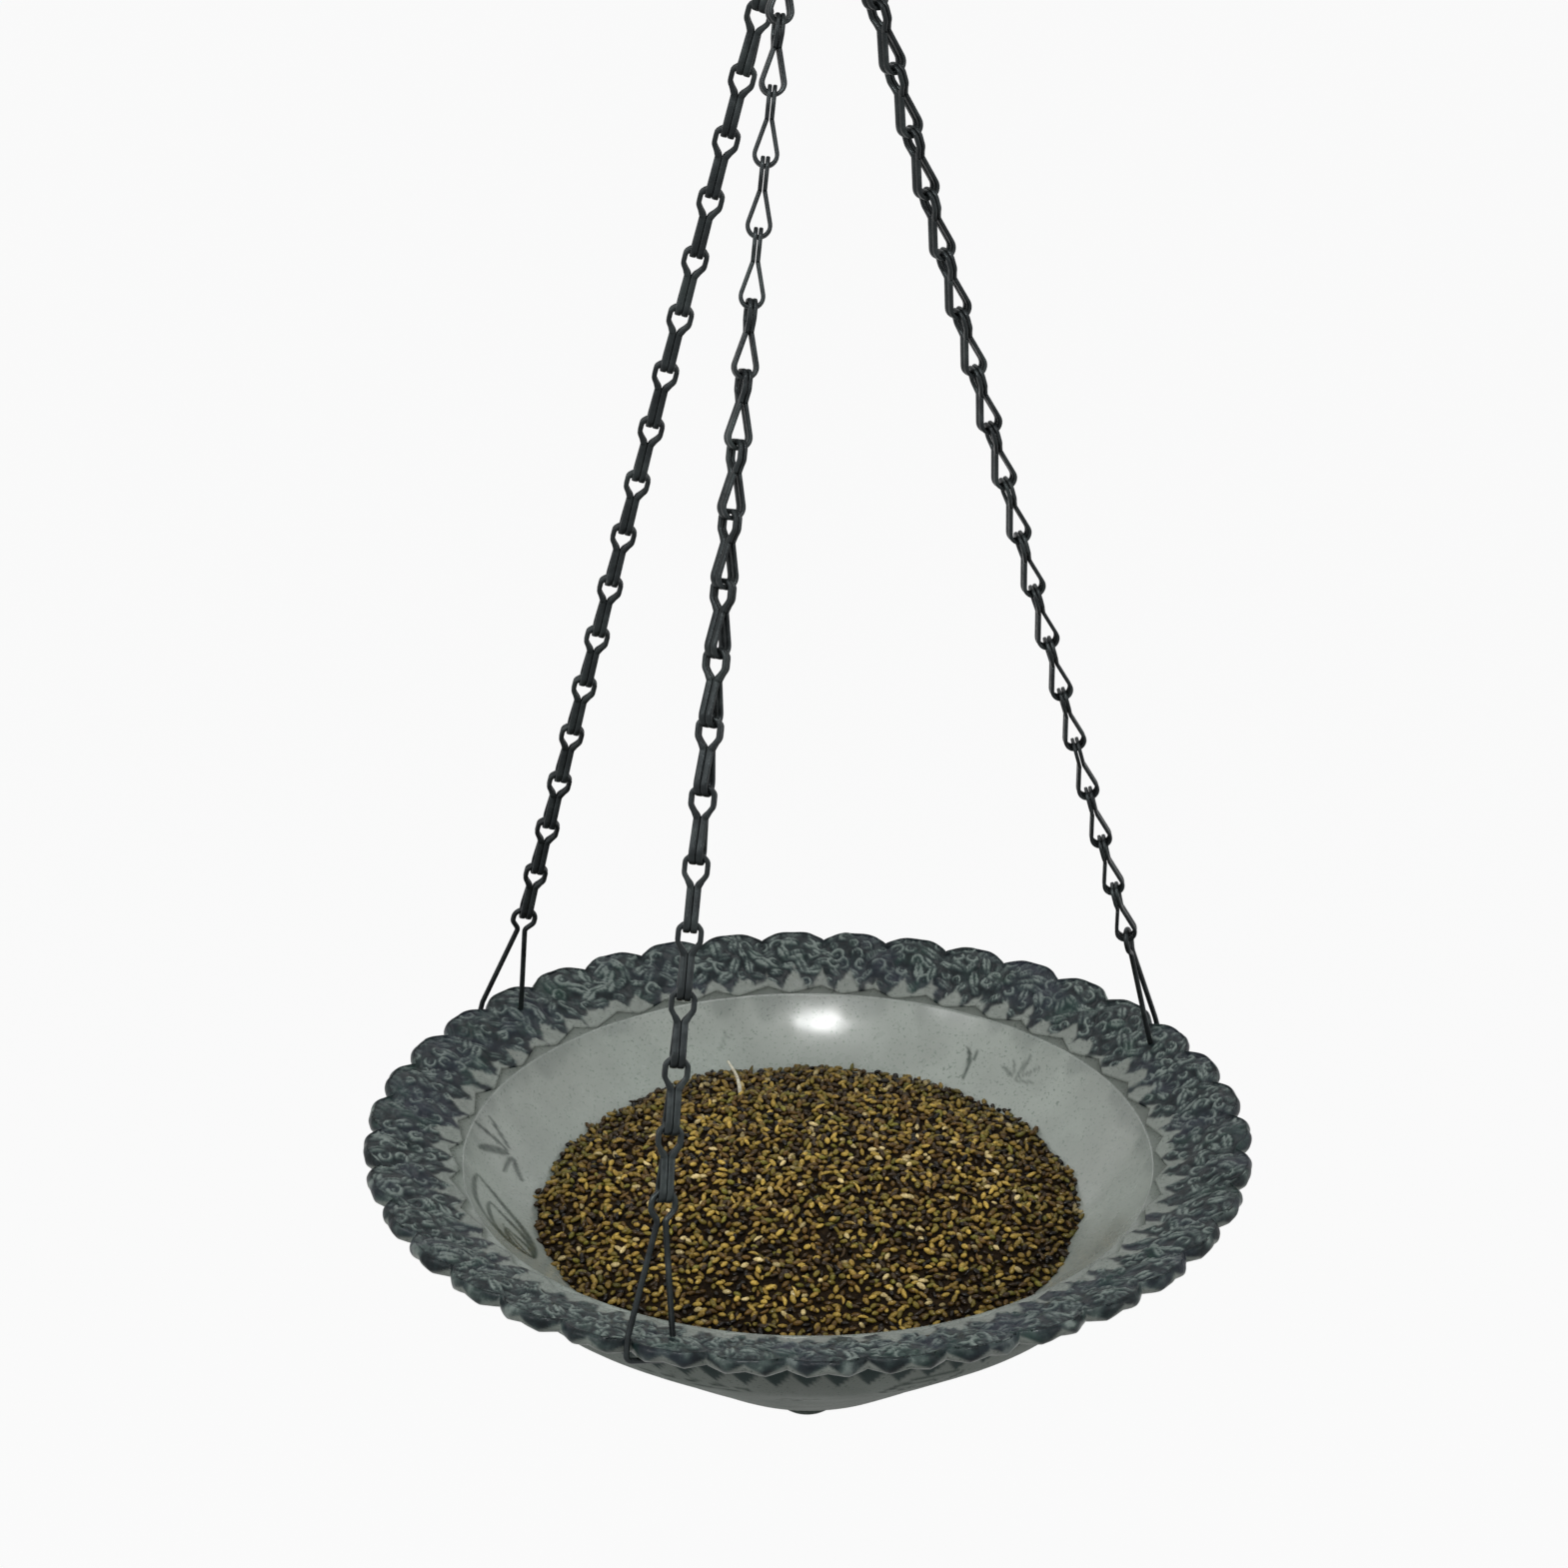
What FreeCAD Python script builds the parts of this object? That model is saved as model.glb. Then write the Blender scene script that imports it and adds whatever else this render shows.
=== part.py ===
import FreeCAD, Part
import math
import os

# Hanging bird bath: a glazed bowl with a scalloped band, hung on three folded-link chains.
# Millimetres, +Z up. The origin is the point where the hook bears on the branch or bracket.

V = FreeCAD.Vector

# Hook and ring at the top
HOOK_WIRE = 3.5  # wire diameter
CROOK_INNER_R = 11.0  # upper crook, goes over the branch
EYE_INNER_R = 5.0  # lower eye, holds the ring
HOOK_SHANK = 6.0  # room between crook and eye
CROOK_TIP = -25.0  # where the crook's open end stops, degrees above the level
EYE_SWEEP = 325.0  # how far the wire goes round in the eye
RING_WIRE = 3.0
RING_R = 14.0  # to the middle of the wire
RING_AZ = 45.0  # heading of the ring's plane
RING_PLAY = 0.3  # running gap at the ring, above and below
TOP_SPACING = 5.0  # between neighbouring chains on the ring

# One folded link
STRIP_T = 1.3  # thickness of the strip
WAIST_W = 4.4  # width of the strip at the waist and the bend
EYE_W = 8.4  # outer width of the eyes
WINDOW_W = 5.2
WINDOW_H = 7.0
WINDOW_SQUARE = 4.5  # depth of its straight part, above the point
WINDOW_POINT = 1.5  # width of the point
BAR_H = 1.7  # bar above the window
PINCH_GAP = 0.2  # between the two strips where they are pinched
BEND_W = 7.9  # outer width of the bend, seen from the side
BEND_FLATS = 6  # turns in the bend, few because there are sixty links
PITCH = 20.5  # from one link to the next
LINK_PLAY = 0.15  # between a bend and what hangs in it

# Rim hangers, bent from wire
HANGER_WIRE = 1.9
HANGER_SPREAD = 14.5  # between the legs at the rim
HANGER_MIN = 38.0  # least height of a hanger above the rim
HANGER_EYE_W = 5.8  # inside the eye
HANGER_EYE_H = 8.0  # its full height, inside
HANGER_NECK = 0.6  # gap between the legs under the eye
HANGER_BEND = 2.4  # radius of the upper bends, to the middle of the wire
HANGER_CORNER = 1.9  # the same at the two corners under the band
HANGER_SKEW = 47.0  # turn of a hanger from the radial plane
HANGER_PLAY = 0.15  # under the band and in the notch
HOLE_D = 3.6  # hole in the band for the inner leg

# Bowl
RIM_R = 150.0  # mean radius of the scalloped edge
BAND_W = 26.5  # width of the relief band, seen from above
BAND_T = 4.6
BAND_SLOPE = math.radians(18.5)  # the band falls inward, square to the chains
BAND_STEP = 1.0  # how far the band stands proud of the wall inside
LOBES = 38
LOBE_OUT = 2.0  # crest beyond the mean radius
LOBE_IN = 2.8  # notch inside the mean radius
TOOTH = 4.0  # length of the points on the band's inner edge
BOSS_ROOT = 0.3  # how far the bosses go down into the band
WALL = 6.0  # thickness at the top of the side
FLOOR = 12.0  # thickness from the shoulder down
SIDE_W = 19.5  # from the top of the wall in to the shoulder
SHOULDER_DEPTH = 42.6  # below the rim
FLANK_W = 55.5  # from the shoulder in to the round foot
FOOT_DEPTH = 85.0  # where the round foot starts
KNOB_R = 12.5
KNOB_NECK_R = 9.5
KNOB_H = 15.5  # below the foot
KNOB_CAP = 6.5  # height of its round end
KNOB_BRIM = 1.6  # height of its edge
RING_HEIGHT = 428.0  # ring's lowest wire above the rim
NOTCH_AZ = 30.8  # heading of the notch that the first hanger sits in

# Seed lying in the bowl
SEED_DEPTH = 35.0  # edge of the seed below the rim
SEED_CROWN = 14.0  # rise of the heap in its middle
SEED_LEAN = 5.0  # how much higher its edge lies at the back than at the sides
SEED_PLAY = 0.2  # between the seed and the bowl
MOUND_RISE = 0.5  # half the height of each wave in the top of the heap
MOUND_GRID = 8.0  # spacing of the points that the top is drawn through

# distance from the band's edge, place in the lobe, radius and height of the bosses in one lobe
BOSSES = ((8.0, 0.5, 8.5, 1.7), (16.0, 0.0, 5.2, 1.4))

# heading in degrees and length of the waves in the heap
MOUNDS = ((20, 31), (85, 27), (150, 38))

# name, place on the ring, notch counted from the first one, side of it, twist: (link, degrees)
CHAINS = (
    ("right", 1, 0, 1, ((0, -45), (19, -97))),
    ("left", 0, 12, 1, ((0, -30), (4, 0), (19, 8))),
    ("front", -1, 23, -1, ((0, -52), (4, -90), (6, -90), (15, 0), (19, 12))),
)

# Sizes that follow
HOOK_R = HOOK_WIRE / 2
EYE_R = EYE_INNER_R + HOOK_R
CROOK_R = CROOK_INNER_R + HOOK_R
CROOK_Z = -CROOK_INNER_R
EYE_Z = CROOK_Z - CROOK_R - EYE_R - HOOK_SHANK
HOOK_LOW_Z = EYE_Z - EYE_R
RING_TOP_Z = HOOK_LOW_Z + HOOK_R + RING_PLAY + RING_WIRE / 2
RING_Z = RING_TOP_Z - RING_R
RING_LOW_Z = RING_Z - RING_R
RIM_Z = RING_LOW_Z - RING_HEIGHT
BEND_INNER_R = BEND_W / 2 - STRIP_T
BAR_HALF = STRIP_T + PINCH_GAP / 2
BAR_SEAT = BEND_INNER_R - math.sqrt(BEND_INNER_R ** 2 - BAR_HALF ** 2) + LINK_PLAY
INNER_LENGTH = PITCH + BAR_SEAT
HANGER_R = HANGER_WIRE / 2
LEG_SIDE = HANGER_SPREAD / 2 * math.sin(math.radians(HANGER_SKEW))
LEG_OUT = HANGER_SPREAD / 2 * math.cos(math.radians(HANGER_SKEW)) * math.cos(BAND_SLOPE)
EYE_SEAT = HANGER_EYE_W / 2 - math.sqrt((HANGER_EYE_W / 2) ** 2 - (WAIST_W / 2) ** 2) + LINK_PLAY
WALL_TOP_R = RIM_R - BAND_W + BAND_STEP
SHOULDER_R = WALL_TOP_R - SIDE_W
FOOT_R = SHOULDER_R - FLANK_W
LOBE_HALF = math.pi / LOBES
NOTCH_R = RIM_R - LOBE_IN
CREST_R = RIM_R + LOBE_OUT
LOBE_RISE = CREST_R - NOTCH_R * math.cos(LOBE_HALF)
NOTCH_HALF = math.pi / 2 + LOBE_HALF - 2 * math.atan2(LOBE_RISE, NOTCH_R * math.sin(LOBE_HALF))
LEG_R = NOTCH_R + (HANGER_R + HANGER_PLAY) / math.sin(NOTCH_HALF)
ATTACH_R = math.sqrt(LEG_R ** 2 - LEG_SIDE ** 2) - LEG_OUT


def heading(degrees):
    a = math.radians(degrees)
    return V(math.cos(a), math.sin(a), 0)


def unit(v):
    return v * (1.0 / v.Length)


def line(a, b):
    return Part.LineSegment(a, b).toShape()


def arc(a, b, c):
    return Part.Arc(a, b, c).toShape()


def polygon(points):
    return Part.makePolygon(list(points) + [points[0]])


def rounded(corners):
    """Closed outline through corners, each a point with the radius of its bend."""
    starts = []
    edges = []
    for i, (p, r) in enumerate(corners):
        before = unit(corners[i - 1][0] - p)
        after = unit(corners[(i + 1) % len(corners)][0] - p)
        half = before.getAngle(after) / 2
        cut = r / math.tan(half)
        middle = p + unit(before + after) * (r / math.sin(half) - r)
        starts.append(p + before * cut)
        edges.append(arc(p + before * cut, middle, p + after * cut))
    ordered = []
    for i, bend in enumerate(edges):
        end = bend.Vertexes[-1].Point
        start = starts[(i + 1) % len(starts)]
        ordered.append(bend)
        if (end - start).Length > 1e-6:
            ordered.append(line(end, start))
    return Part.Wire(ordered)


def wire_along(path, diameter):
    """Round wire bent along a path."""
    edge = path.Edges[0]
    start = edge.valueAt(edge.FirstParameter)
    section = Part.Wire(Part.makeCircle(diameter / 2, start, edge.tangentAt(edge.FirstParameter)))
    return path.makePipeShell([section], True, False)


def placed(shape, origin, x, y, z):
    """A copy of a shape with its own axes laid along x, y and z."""
    m = FreeCAD.Matrix(x.x, y.x, z.x, origin.x, x.y, y.y, z.y, origin.y, x.z, y.z, z.z, origin.z, 0, 0, 0, 1)
    copy = shape.copy()
    copy.transformShape(m)
    return copy


def tangent_point(px, pz, cz, r):
    """Where the line from (px, pz) touches the circle of radius r round (0, cz), on the px side."""
    dz = pz - cz
    d = math.hypot(px, dz)
    a = math.atan2(dz, px) - math.acos(r / d)
    return r * math.cos(a), cz + r * math.sin(a)


def teardrop(half, top, neck, cz, r):
    """Outline in YZ: straight sides half wide down to neck, then flats round a circle."""
    ty, tz = tangent_point(half, neck, cz, r)
    start = math.atan2(tz - cz, ty)
    step = (-math.pi - 2 * start) / BEND_FLATS
    corner_r = r / math.cos(step / 2)
    points = [V(0, half, top), V(0, half, neck)]
    for i in range(BEND_FLATS):
        a = start + (i + 0.5) * step
        points.append(V(0, corner_r * math.cos(a), cz + corner_r * math.sin(a)))
    points += [V(0, -half, neck), V(0, -half, top)]
    return Part.Face(polygon(points))


def folded_link():
    """Strip folded at the bottom, with two pinched eyes; the bar's underside is at the origin."""
    bend_z = -INNER_LENGTH + BEND_INNER_R
    neck = -WINDOW_H - STRIP_T
    outside = teardrop(BAR_HALF, BAR_H, neck, bend_z, BEND_W / 2)
    inside = teardrop(PINCH_GAP / 2, 2 * BAR_H, neck, bend_z, BEND_INNER_R)
    span = V(EYE_W, 0, 0)
    band = outside.extrude(span).cut(inside.extrude(span))
    band.translate(span * -0.5)

    eye = EYE_W / 2
    waist = WAIST_W / 2
    shoulder = eye - waist
    low = -INNER_LENGTH - 2 * STRIP_T
    half = [(waist, BAR_H), (eye, BAR_H - shoulder), (eye, -WINDOW_SQUARE), (waist, neck), (waist, low)]
    outline = [V(x, 0, z) for x, z in half] + [V(-x, 0, z) for x, z in reversed(half)]
    win = WINDOW_W / 2
    opening = [(win, 0), (win, -WINDOW_SQUARE), (WINDOW_POINT / 2, -WINDOW_H)]
    window = [V(x, 0, z) for x, z in opening] + [V(-x, 0, z) for x, z in reversed(opening)]
    plan = Part.Face(polygon(outline)).cut(Part.Face(polygon(window)))
    depth = V(0, BEND_W + 2, 0)
    plate = plan.extrude(depth)
    plate.translate(depth * -0.5)
    return band.common(plate)


def twist(knots, index):
    """Turn of a link about its chain, read off between the given links."""
    for (i0, a0), (i1, a1) in zip(knots, knots[1:]):
        if index <= i1:
            return a0 + (a1 - a0) * (index - i0) / (i1 - i0)
    return knots[-1][1]


def ring_point(index):
    """Middle of the ring's wire where the chain of this index hangs: the left one is lowest."""
    a = CHAINS[index][1] * 2 * math.asin(TOP_SPACING / 2 / RING_R)
    return heading(RING_AZ) * (RING_R * math.sin(a)) + V(0, 0, RING_Z - RING_R * math.cos(a))


def chain_frame(index):
    """Start, foot and axes of one chain: z runs up the chain, y stands level, pointing away."""
    name, place, notch, side, knots = CHAINS[index]
    start = ring_point(index)
    notch_az = NOTCH_AZ + notch * 360.0 / LOBES
    lean = math.degrees(math.atan2(LEG_SIDE, ATTACH_R + LEG_OUT))
    out = heading(notch_az - side * lean)
    foot = out * ATTACH_R + V(0, 0, RIM_Z + band_z(ATTACH_R))
    z = unit(start - foot)
    y = unit(V(0, 1, 0) - z * z.y)
    return start, foot, out, y.cross(z), y, z


def chain_length(index):
    start, foot = chain_frame(index)[:2]
    return (start - foot).Length


def link_count():
    shortest = min(chain_length(i) for i in range(len(CHAINS)))
    return int((shortest - HANGER_MIN) // PITCH)


def chain(index, link):
    """The links of one chain, each hung in the bend of the one above."""
    start, foot, out, x, y, z = chain_frame(index)
    knots = CHAINS[index][4]
    first = start + z * (RING_WIRE / 2 + RING_PLAY)
    links = []
    for i in range(link_count()):
        a = math.radians(twist(knots, i))
        lx = x * math.cos(a) + y * math.sin(a)
        ly = y * math.cos(a) - x * math.sin(a)
        links.append(placed(link, first - z * (i * PITCH), lx, ly, z))
    return Part.makeCompound(links)


def hanger_frame(index):
    """Axes of a rim hanger: origin on the band, x from the hole leg to the notch leg."""
    start, foot, out, cx, cy, z = chain_frame(index)
    side = CHAINS[index][3]
    out = unit(out - z * out.dot(z))
    across = z.cross(out)
    a = math.radians(HANGER_SKEW) * side
    x = out * math.cos(a) + across * math.sin(a)
    return foot, x, z.cross(x), z


def hanger_height(index):
    """From the band up to the top of the eye's opening."""
    last_bend = link_count() * PITCH + BAR_SEAT - RING_WIRE / 2 - RING_PLAY
    return chain_length(index) - last_bend + EYE_SEAT


def rim_hanger(index):
    """Wire loop through the band's hole and round its edge, with an eye for the last link."""
    height = hanger_height(index)
    leg = HANGER_SPREAD / 2
    neck = HANGER_NECK / 2 + HANGER_R
    eye = HANGER_EYE_W / 2 + HANGER_R
    top = height + HANGER_R
    neck_z = height - HANGER_EYE_H
    side = [
        (leg, -BAND_T - HANGER_PLAY - HANGER_R, HANGER_CORNER),
        (leg, HANGER_WIRE, HANGER_BEND),
        (neck, neck_z, HANGER_BEND),
        (eye, top - eye - HANGER_WIRE, HANGER_BEND),
        (eye, top, eye),
    ]
    right = [(V(x, 0, z), r) for x, z, r in side]
    left = [(V(-x, 0, z), r) for x, z, r in reversed(side)]
    foot, x, y, z = hanger_frame(index)
    return placed(wire_along(rounded(right + left), HANGER_WIRE), foot, x, y, z)


def hole_cutter(index):
    """Drill for the inner leg, square to the band."""
    foot, x, y, z = hanger_frame(index)
    centre = foot - x * (HANGER_SPREAD / 2)
    length = BAND_T * 4
    return Part.makeCylinder(HOLE_D / 2, length, centre - z * (length / 2), z)


def band_z(r):
    """Height of the band's upper face at radius r, from the rim."""
    return -(RIM_R - r) * math.tan(BAND_SLOPE)


def flank():
    """Shoulder and foot of the straight flank, and its normal, which points into the bowl."""
    shoulder = V(SHOULDER_R, 0, -SHOULDER_DEPTH)
    foot = V(FOOT_R, 0, -FOOT_DEPTH)
    along = unit(shoulder - foot)
    return shoulder, foot, V(-along.z, 0, along.x)


def foot_centre():
    shoulder, foot, normal = flank()
    return V(0, 0, foot.z - normal.z * foot.x / normal.x)


def foot_bottom():
    shoulder, foot, normal = flank()
    centre = foot_centre()
    return centre.z - (foot - centre).Length


def side_arc(top, shoulder, normal):
    """Centre and radius of the arc that runs down from the top into the flank."""
    chord = top - shoulder
    r = chord.dot(chord) / (2 * normal.dot(chord))
    return shoulder + normal * r, r


def meridian(wall, floor):
    """Side arc, flank and round foot, moved inward by wall at the top and by floor from the shoulder."""
    shoulder, foot, normal = flank()
    top = V(WALL_TOP_R, 0, band_z(WALL_TOP_R) - BAND_T + BAND_STEP)
    centre, r = side_arc(top, shoulder, normal)
    top = centre + unit(top - centre) * (r - wall)
    shoulder = shoulder + normal * floor
    foot = foot + normal * floor
    centre, r = side_arc(top, shoulder, normal)
    bulge = centre + unit(unit(top - centre) - normal) * r
    round_centre = foot_centre()
    foot_r = (foot - round_centre).Length
    low = round_centre - V(0, 0, foot_r)
    middle = round_centre + unit(unit(foot - round_centre) - V(0, 0, 1)) * foot_r
    return [arc(top, bulge, shoulder), line(shoulder, foot), arc(foot, middle, low)]


def ends(edges):
    """First and last point of a run of edges that fall from the rim."""
    return edges[0].Vertexes[0].Point, edges[-1].Vertexes[-1].Point


def revolve(edges):
    face = Part.Face(Part.Wire(edges))
    return face.revolve(V(0, 0, 0), V(0, 0, 1), 360)


def body():
    """Wall of the bowl, up into the band."""
    outside = meridian(0, 0)
    inside = meridian(WALL, FLOOR)
    a, b = ends(outside)
    d, c = ends(inside)
    lip = V(a.x, 0, band_z(a.x) - BAND_STEP)
    lip_in = V(d.x, 0, band_z(d.x) - BAND_STEP)
    edges = outside + [line(b, c)] + inside[::-1] + [line(d, lip_in), line(lip_in, lip), line(lip, a)]
    return revolve(edges)


def scalloped_wire():
    """Outer edge: one arc for each lobe."""
    step = 360.0 / LOBES
    edges = []
    for i in range(LOBES):
        a = NOTCH_AZ + i * step
        edges.append(arc(heading(a) * NOTCH_R, heading(a + step / 2) * CREST_R, heading(a + step) * NOTCH_R))
    return Part.Wire(edges)


def toothed_wire():
    """Inner edge: one point for each lobe."""
    valley = RIM_R - BAND_W
    tip = valley - TOOTH
    step = 360.0 / LOBES
    points = []
    for i in range(LOBES):
        a = NOTCH_AZ + i * step
        points.append(heading(a) * valley)
        points.append(heading(a + step / 2) * tip)
    return polygon(points)


def slab(inner, outer, above, below):
    """Sloping ring between two levels over and under the band's upper face, square to it."""
    rise = above / math.cos(BAND_SLOPE)
    a = V(inner, 0, band_z(inner) + rise)
    b = V(outer, 0, band_z(outer) + rise)
    drop = V(0, 0, -(above + below) / math.cos(BAND_SLOPE))
    return revolve([line(a, b), line(b, b + drop), line(b + drop, a + drop), line(a + drop, a)])


def prism(wire):
    """Upright block on an outline, tall enough to pass right through the band."""
    tall = 2 * BAND_W
    block = Part.Face(wire).extrude(V(0, 0, 2 * tall))
    block.translate(V(0, 0, -tall))
    return block


def boss(depth, radius, height):
    """Round boss of the relief, square to the band's upper face, at heading 0."""
    sphere_r = (radius ** 2 + height ** 2) / (2 * height)
    up = unit(V(-math.tan(BAND_SLOPE), 0, 1))
    side = V(0, 1, 0)
    foot = V(RIM_R - depth, 0, band_z(RIM_R - depth))
    ball = placed(Part.makeSphere(sphere_r), foot + up * (height - sphere_r), up * -1, up.cross(side), side)
    return ball.common(Part.makeCylinder(2 * radius, 2 * height, foot - up * BOSS_ROOT, up))


def bosses():
    """Relief of the band: the same few bosses in each lobe."""
    step = 360.0 / LOBES
    made = []
    for depth, place, radius, height in BOSSES:
        one = boss(depth, radius, height)
        for i in range(LOBES):
            made.append(one.rotated(V(0, 0, 0), V(0, 0, 1), NOTCH_AZ + (i + place) * step))
    return made


def band():
    """Sloping band with a scalloped outer edge; inside its toothed edge it is cut down by a step."""
    inner = RIM_R - BAND_W - WALL / 2
    ring = slab(inner, RIM_R + 2 * LOBE_OUT, 0, BAND_T).common(prism(scalloped_wire()))
    recess = slab(inner - WALL, RIM_R, BAND_T, BAND_STEP).common(prism(toothed_wire()))
    return ring.cut(recess).multiFuse(bosses())


def knob():
    """Round knob under the foot."""
    root = foot_bottom() + FLOOR / 2
    low = foot_bottom() - KNOB_H
    brim = low + KNOB_CAP
    shoulder = brim + KNOB_BRIM
    cap_r = (KNOB_R ** 2 + KNOB_CAP ** 2) / (2 * KNOB_CAP)
    half = math.asin(KNOB_R / cap_r) / 2
    middle = V(cap_r * math.sin(half), 0, low + cap_r * (1 - math.cos(half)))
    corners = [(0, root), (KNOB_NECK_R, root), (KNOB_NECK_R, shoulder), (KNOB_R, shoulder), (KNOB_R, brim)]
    points = [V(r, 0, z) for r, z in corners]
    edges = [line(a, b) for a, b in zip(points, points[1:])]
    edges.append(arc(points[-1], middle, V(0, 0, low)))
    edges.append(line(V(0, 0, low), points[0]))
    return revolve(edges)


def bowl():
    """Body, band and knob in one cast piece, with the three holes for the hangers."""
    solid = body().multiFuse([band(), knob()])
    solid.translate(V(0, 0, RIM_Z))
    for index in range(len(CHAINS)):
        solid = solid.cut(hole_cutter(index))
    return solid


def heap_edge():
    """Radius at which the heap meets the inside of the bowl."""
    shoulder, foot, normal = flank()
    shoulder = shoulder + normal * (FLOOR + SEED_PLAY)
    return shoulder.x + (-SEED_DEPTH - shoulder.z) * normal.z / -normal.x


def heap_z(x, y):
    """Height of the heap: a low round crown, banked up at the back, with a few shallow mounds."""
    edge = heap_edge()
    sphere_r = (edge ** 2 + SEED_CROWN ** 2) / (2 * SEED_CROWN)
    z = SEED_CROWN - SEED_DEPTH - sphere_r + math.sqrt(sphere_r ** 2 - x ** 2 - y ** 2)
    z += SEED_LEAN * y / edge
    for degrees, length in MOUNDS:
        along = heading(degrees).dot(V(x, y, 0))
        z += MOUND_RISE * math.cos(2 * math.pi * along / length)
    return z


def heap_top():
    """Smooth face through a square grid of points on the heap."""
    count = math.ceil(WALL_TOP_R / MOUND_GRID)
    places = [i * MOUND_GRID for i in range(-count, count + 1)]
    surface = Part.BSplineSurface()
    surface.interpolate([[V(x, y, heap_z(x, y)) for y in places] for x in places])
    return surface.toShape()


def seed_fill():
    """Heap of seed that fills the inside of the bowl up to its low crown."""
    bed = meridian(WALL + SEED_PLAY, FLOOR + SEED_PLAY)
    top, low = ends(bed)
    cavity = revolve(bed + [line(low, V(0, 0, top.z)), line(V(0, 0, top.z), top)])
    solid = cavity.cut(heap_top().extrude(V(0, 0, FOOT_DEPTH)))
    solid.translate(V(0, 0, RIM_Z))
    return solid


def hook():
    """S hook from round wire: a crook above, a nearly closed eye below."""
    d = CROOK_Z - EYE_Z
    a = math.asin((CROOK_R + EYE_R) / d)
    u = heading(RING_AZ + 90)

    def at(cz, r, degrees):
        t = math.radians(degrees)
        return u * (r * math.cos(t)) + V(0, 0, cz + r * math.sin(t))

    lean = math.degrees(a)
    crook_end = 270 - lean
    eye_start = 90 - lean
    tip = at(CROOK_Z, CROOK_R, CROOK_TIP)
    c0 = at(CROOK_Z, CROOK_R, crook_end)
    e0 = at(EYE_Z, EYE_R, eye_start)
    e1 = at(EYE_Z, EYE_R, eye_start - EYE_SWEEP)
    edges = [
        arc(tip, at(CROOK_Z, CROOK_R, (crook_end + CROOK_TIP) / 2), c0),
        line(c0, e0),
        arc(e0, at(EYE_Z, EYE_R, eye_start - EYE_SWEEP / 2), e1),
    ]
    return wire_along(Part.Wire(edges), HOOK_WIRE)


def top_ring():
    ring = Part.makeTorus(RING_R, RING_WIRE / 2)
    across = heading(RING_AZ)
    return placed(ring, V(0, 0, RING_Z), across, V(0, 0, 1), across.cross(V(0, 0, 1)))


def write(name, shape):
    shape.exportStep(os.path.join("parts", name + ".step"))
    box = shape.BoundBox
    print(name, len(shape.Solids), shape.isValid(), round(shape.Volume), [round(v, 2) for v in (
        box.XMin, box.YMin, box.ZMin, box.XMax, box.YMax, box.ZMax)])


def main():
    os.makedirs("parts", exist_ok=True)
    write("hook", hook())
    write("top_ring", top_ring())
    link = folded_link()
    for index, spec in enumerate(CHAINS):
        write("chain_" + spec[0], chain(index, link))
        write("rim_hanger_" + spec[0], rim_hanger(index))
        print("  hanger height", round(hanger_height(index), 2))
    write("bowl", bowl())
    write("seed_fill", seed_fill())


main()
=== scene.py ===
import math

import bpy
import numpy as np
from mathutils import Matrix, Vector


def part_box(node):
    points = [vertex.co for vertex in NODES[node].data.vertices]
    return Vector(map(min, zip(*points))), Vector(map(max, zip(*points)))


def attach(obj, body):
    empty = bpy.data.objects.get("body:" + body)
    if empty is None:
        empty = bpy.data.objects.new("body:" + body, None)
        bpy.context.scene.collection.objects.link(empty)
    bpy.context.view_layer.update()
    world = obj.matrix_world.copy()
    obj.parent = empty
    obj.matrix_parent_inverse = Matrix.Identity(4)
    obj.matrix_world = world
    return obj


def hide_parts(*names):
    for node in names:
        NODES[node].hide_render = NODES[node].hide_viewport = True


# Hanging bird bath: glazed bowl with a relief band, grain, folded wire chains, ring and hook.
# Sizes are in millimetres, and meshes are scaled to metres when they are made. Lamps, camera
# and floor are placed in metres.

MM = 0.001
SEED = 7  # of the random draws
NEAR_AXIS = 0.01  # radius at which a closed surface ends on its axis

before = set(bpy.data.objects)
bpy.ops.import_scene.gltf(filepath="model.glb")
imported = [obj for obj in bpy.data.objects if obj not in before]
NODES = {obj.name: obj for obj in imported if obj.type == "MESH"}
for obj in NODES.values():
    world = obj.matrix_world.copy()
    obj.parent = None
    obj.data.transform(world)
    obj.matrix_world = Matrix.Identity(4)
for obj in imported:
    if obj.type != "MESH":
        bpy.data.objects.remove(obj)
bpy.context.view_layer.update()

# Ring and chains, as in the part
RING_WIRE = 3.0
RING_R = 14.0
RING_AZ = 45.0  # heading of the ring's plane
RING_PLAY = 0.3
RING_LOW_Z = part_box("top_ring")[0].z / MM + RING_WIRE / 2
TOP_SPACING = 5.0  # between neighbouring chains on the ring
PITCH = 20.5  # from one link to the next
LINKS = 20
WINDOW_H = 7.0
WINDOW_SQUARE = 4.5  # depth of its straight part
BAR_H = 1.7
EYE_W = 8.4
EYE_WIRE = 1.6  # width of the wire round an eye
WAIST_W = 4.4
STRIP_T = 1.3
PINCH_GAP = 0.2
BEND_W = 7.9
BAR_SEAT = 0.55  # depth of a bend's inside below the bars that hang in it
ATTACH_R = 143.91  # radius at which the chains' lines meet the band
EYE_ROUNDS = (0.9, 1.3, 2.0, 1.6)  # radii of an eye's corners, from the bar down
EYE_STEP = 0.6  # between rows of points along an eye
LEG_STEP = 0.75  # the same along the waist and the bend

# name, place on the ring, heading of the rim hanger, twist: (link, degrees)
CHAINS = (
    ("right", 1, 28.76, ((0, -45), (19, -97))),
    ("left", 0, 142.44, ((0, -30), (4, 0), (19, 8))),
    ("front", -1, -109.26, ((0, -52), (4, -90), (6, -90), (15, 0), (19, 12))),
)

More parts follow.
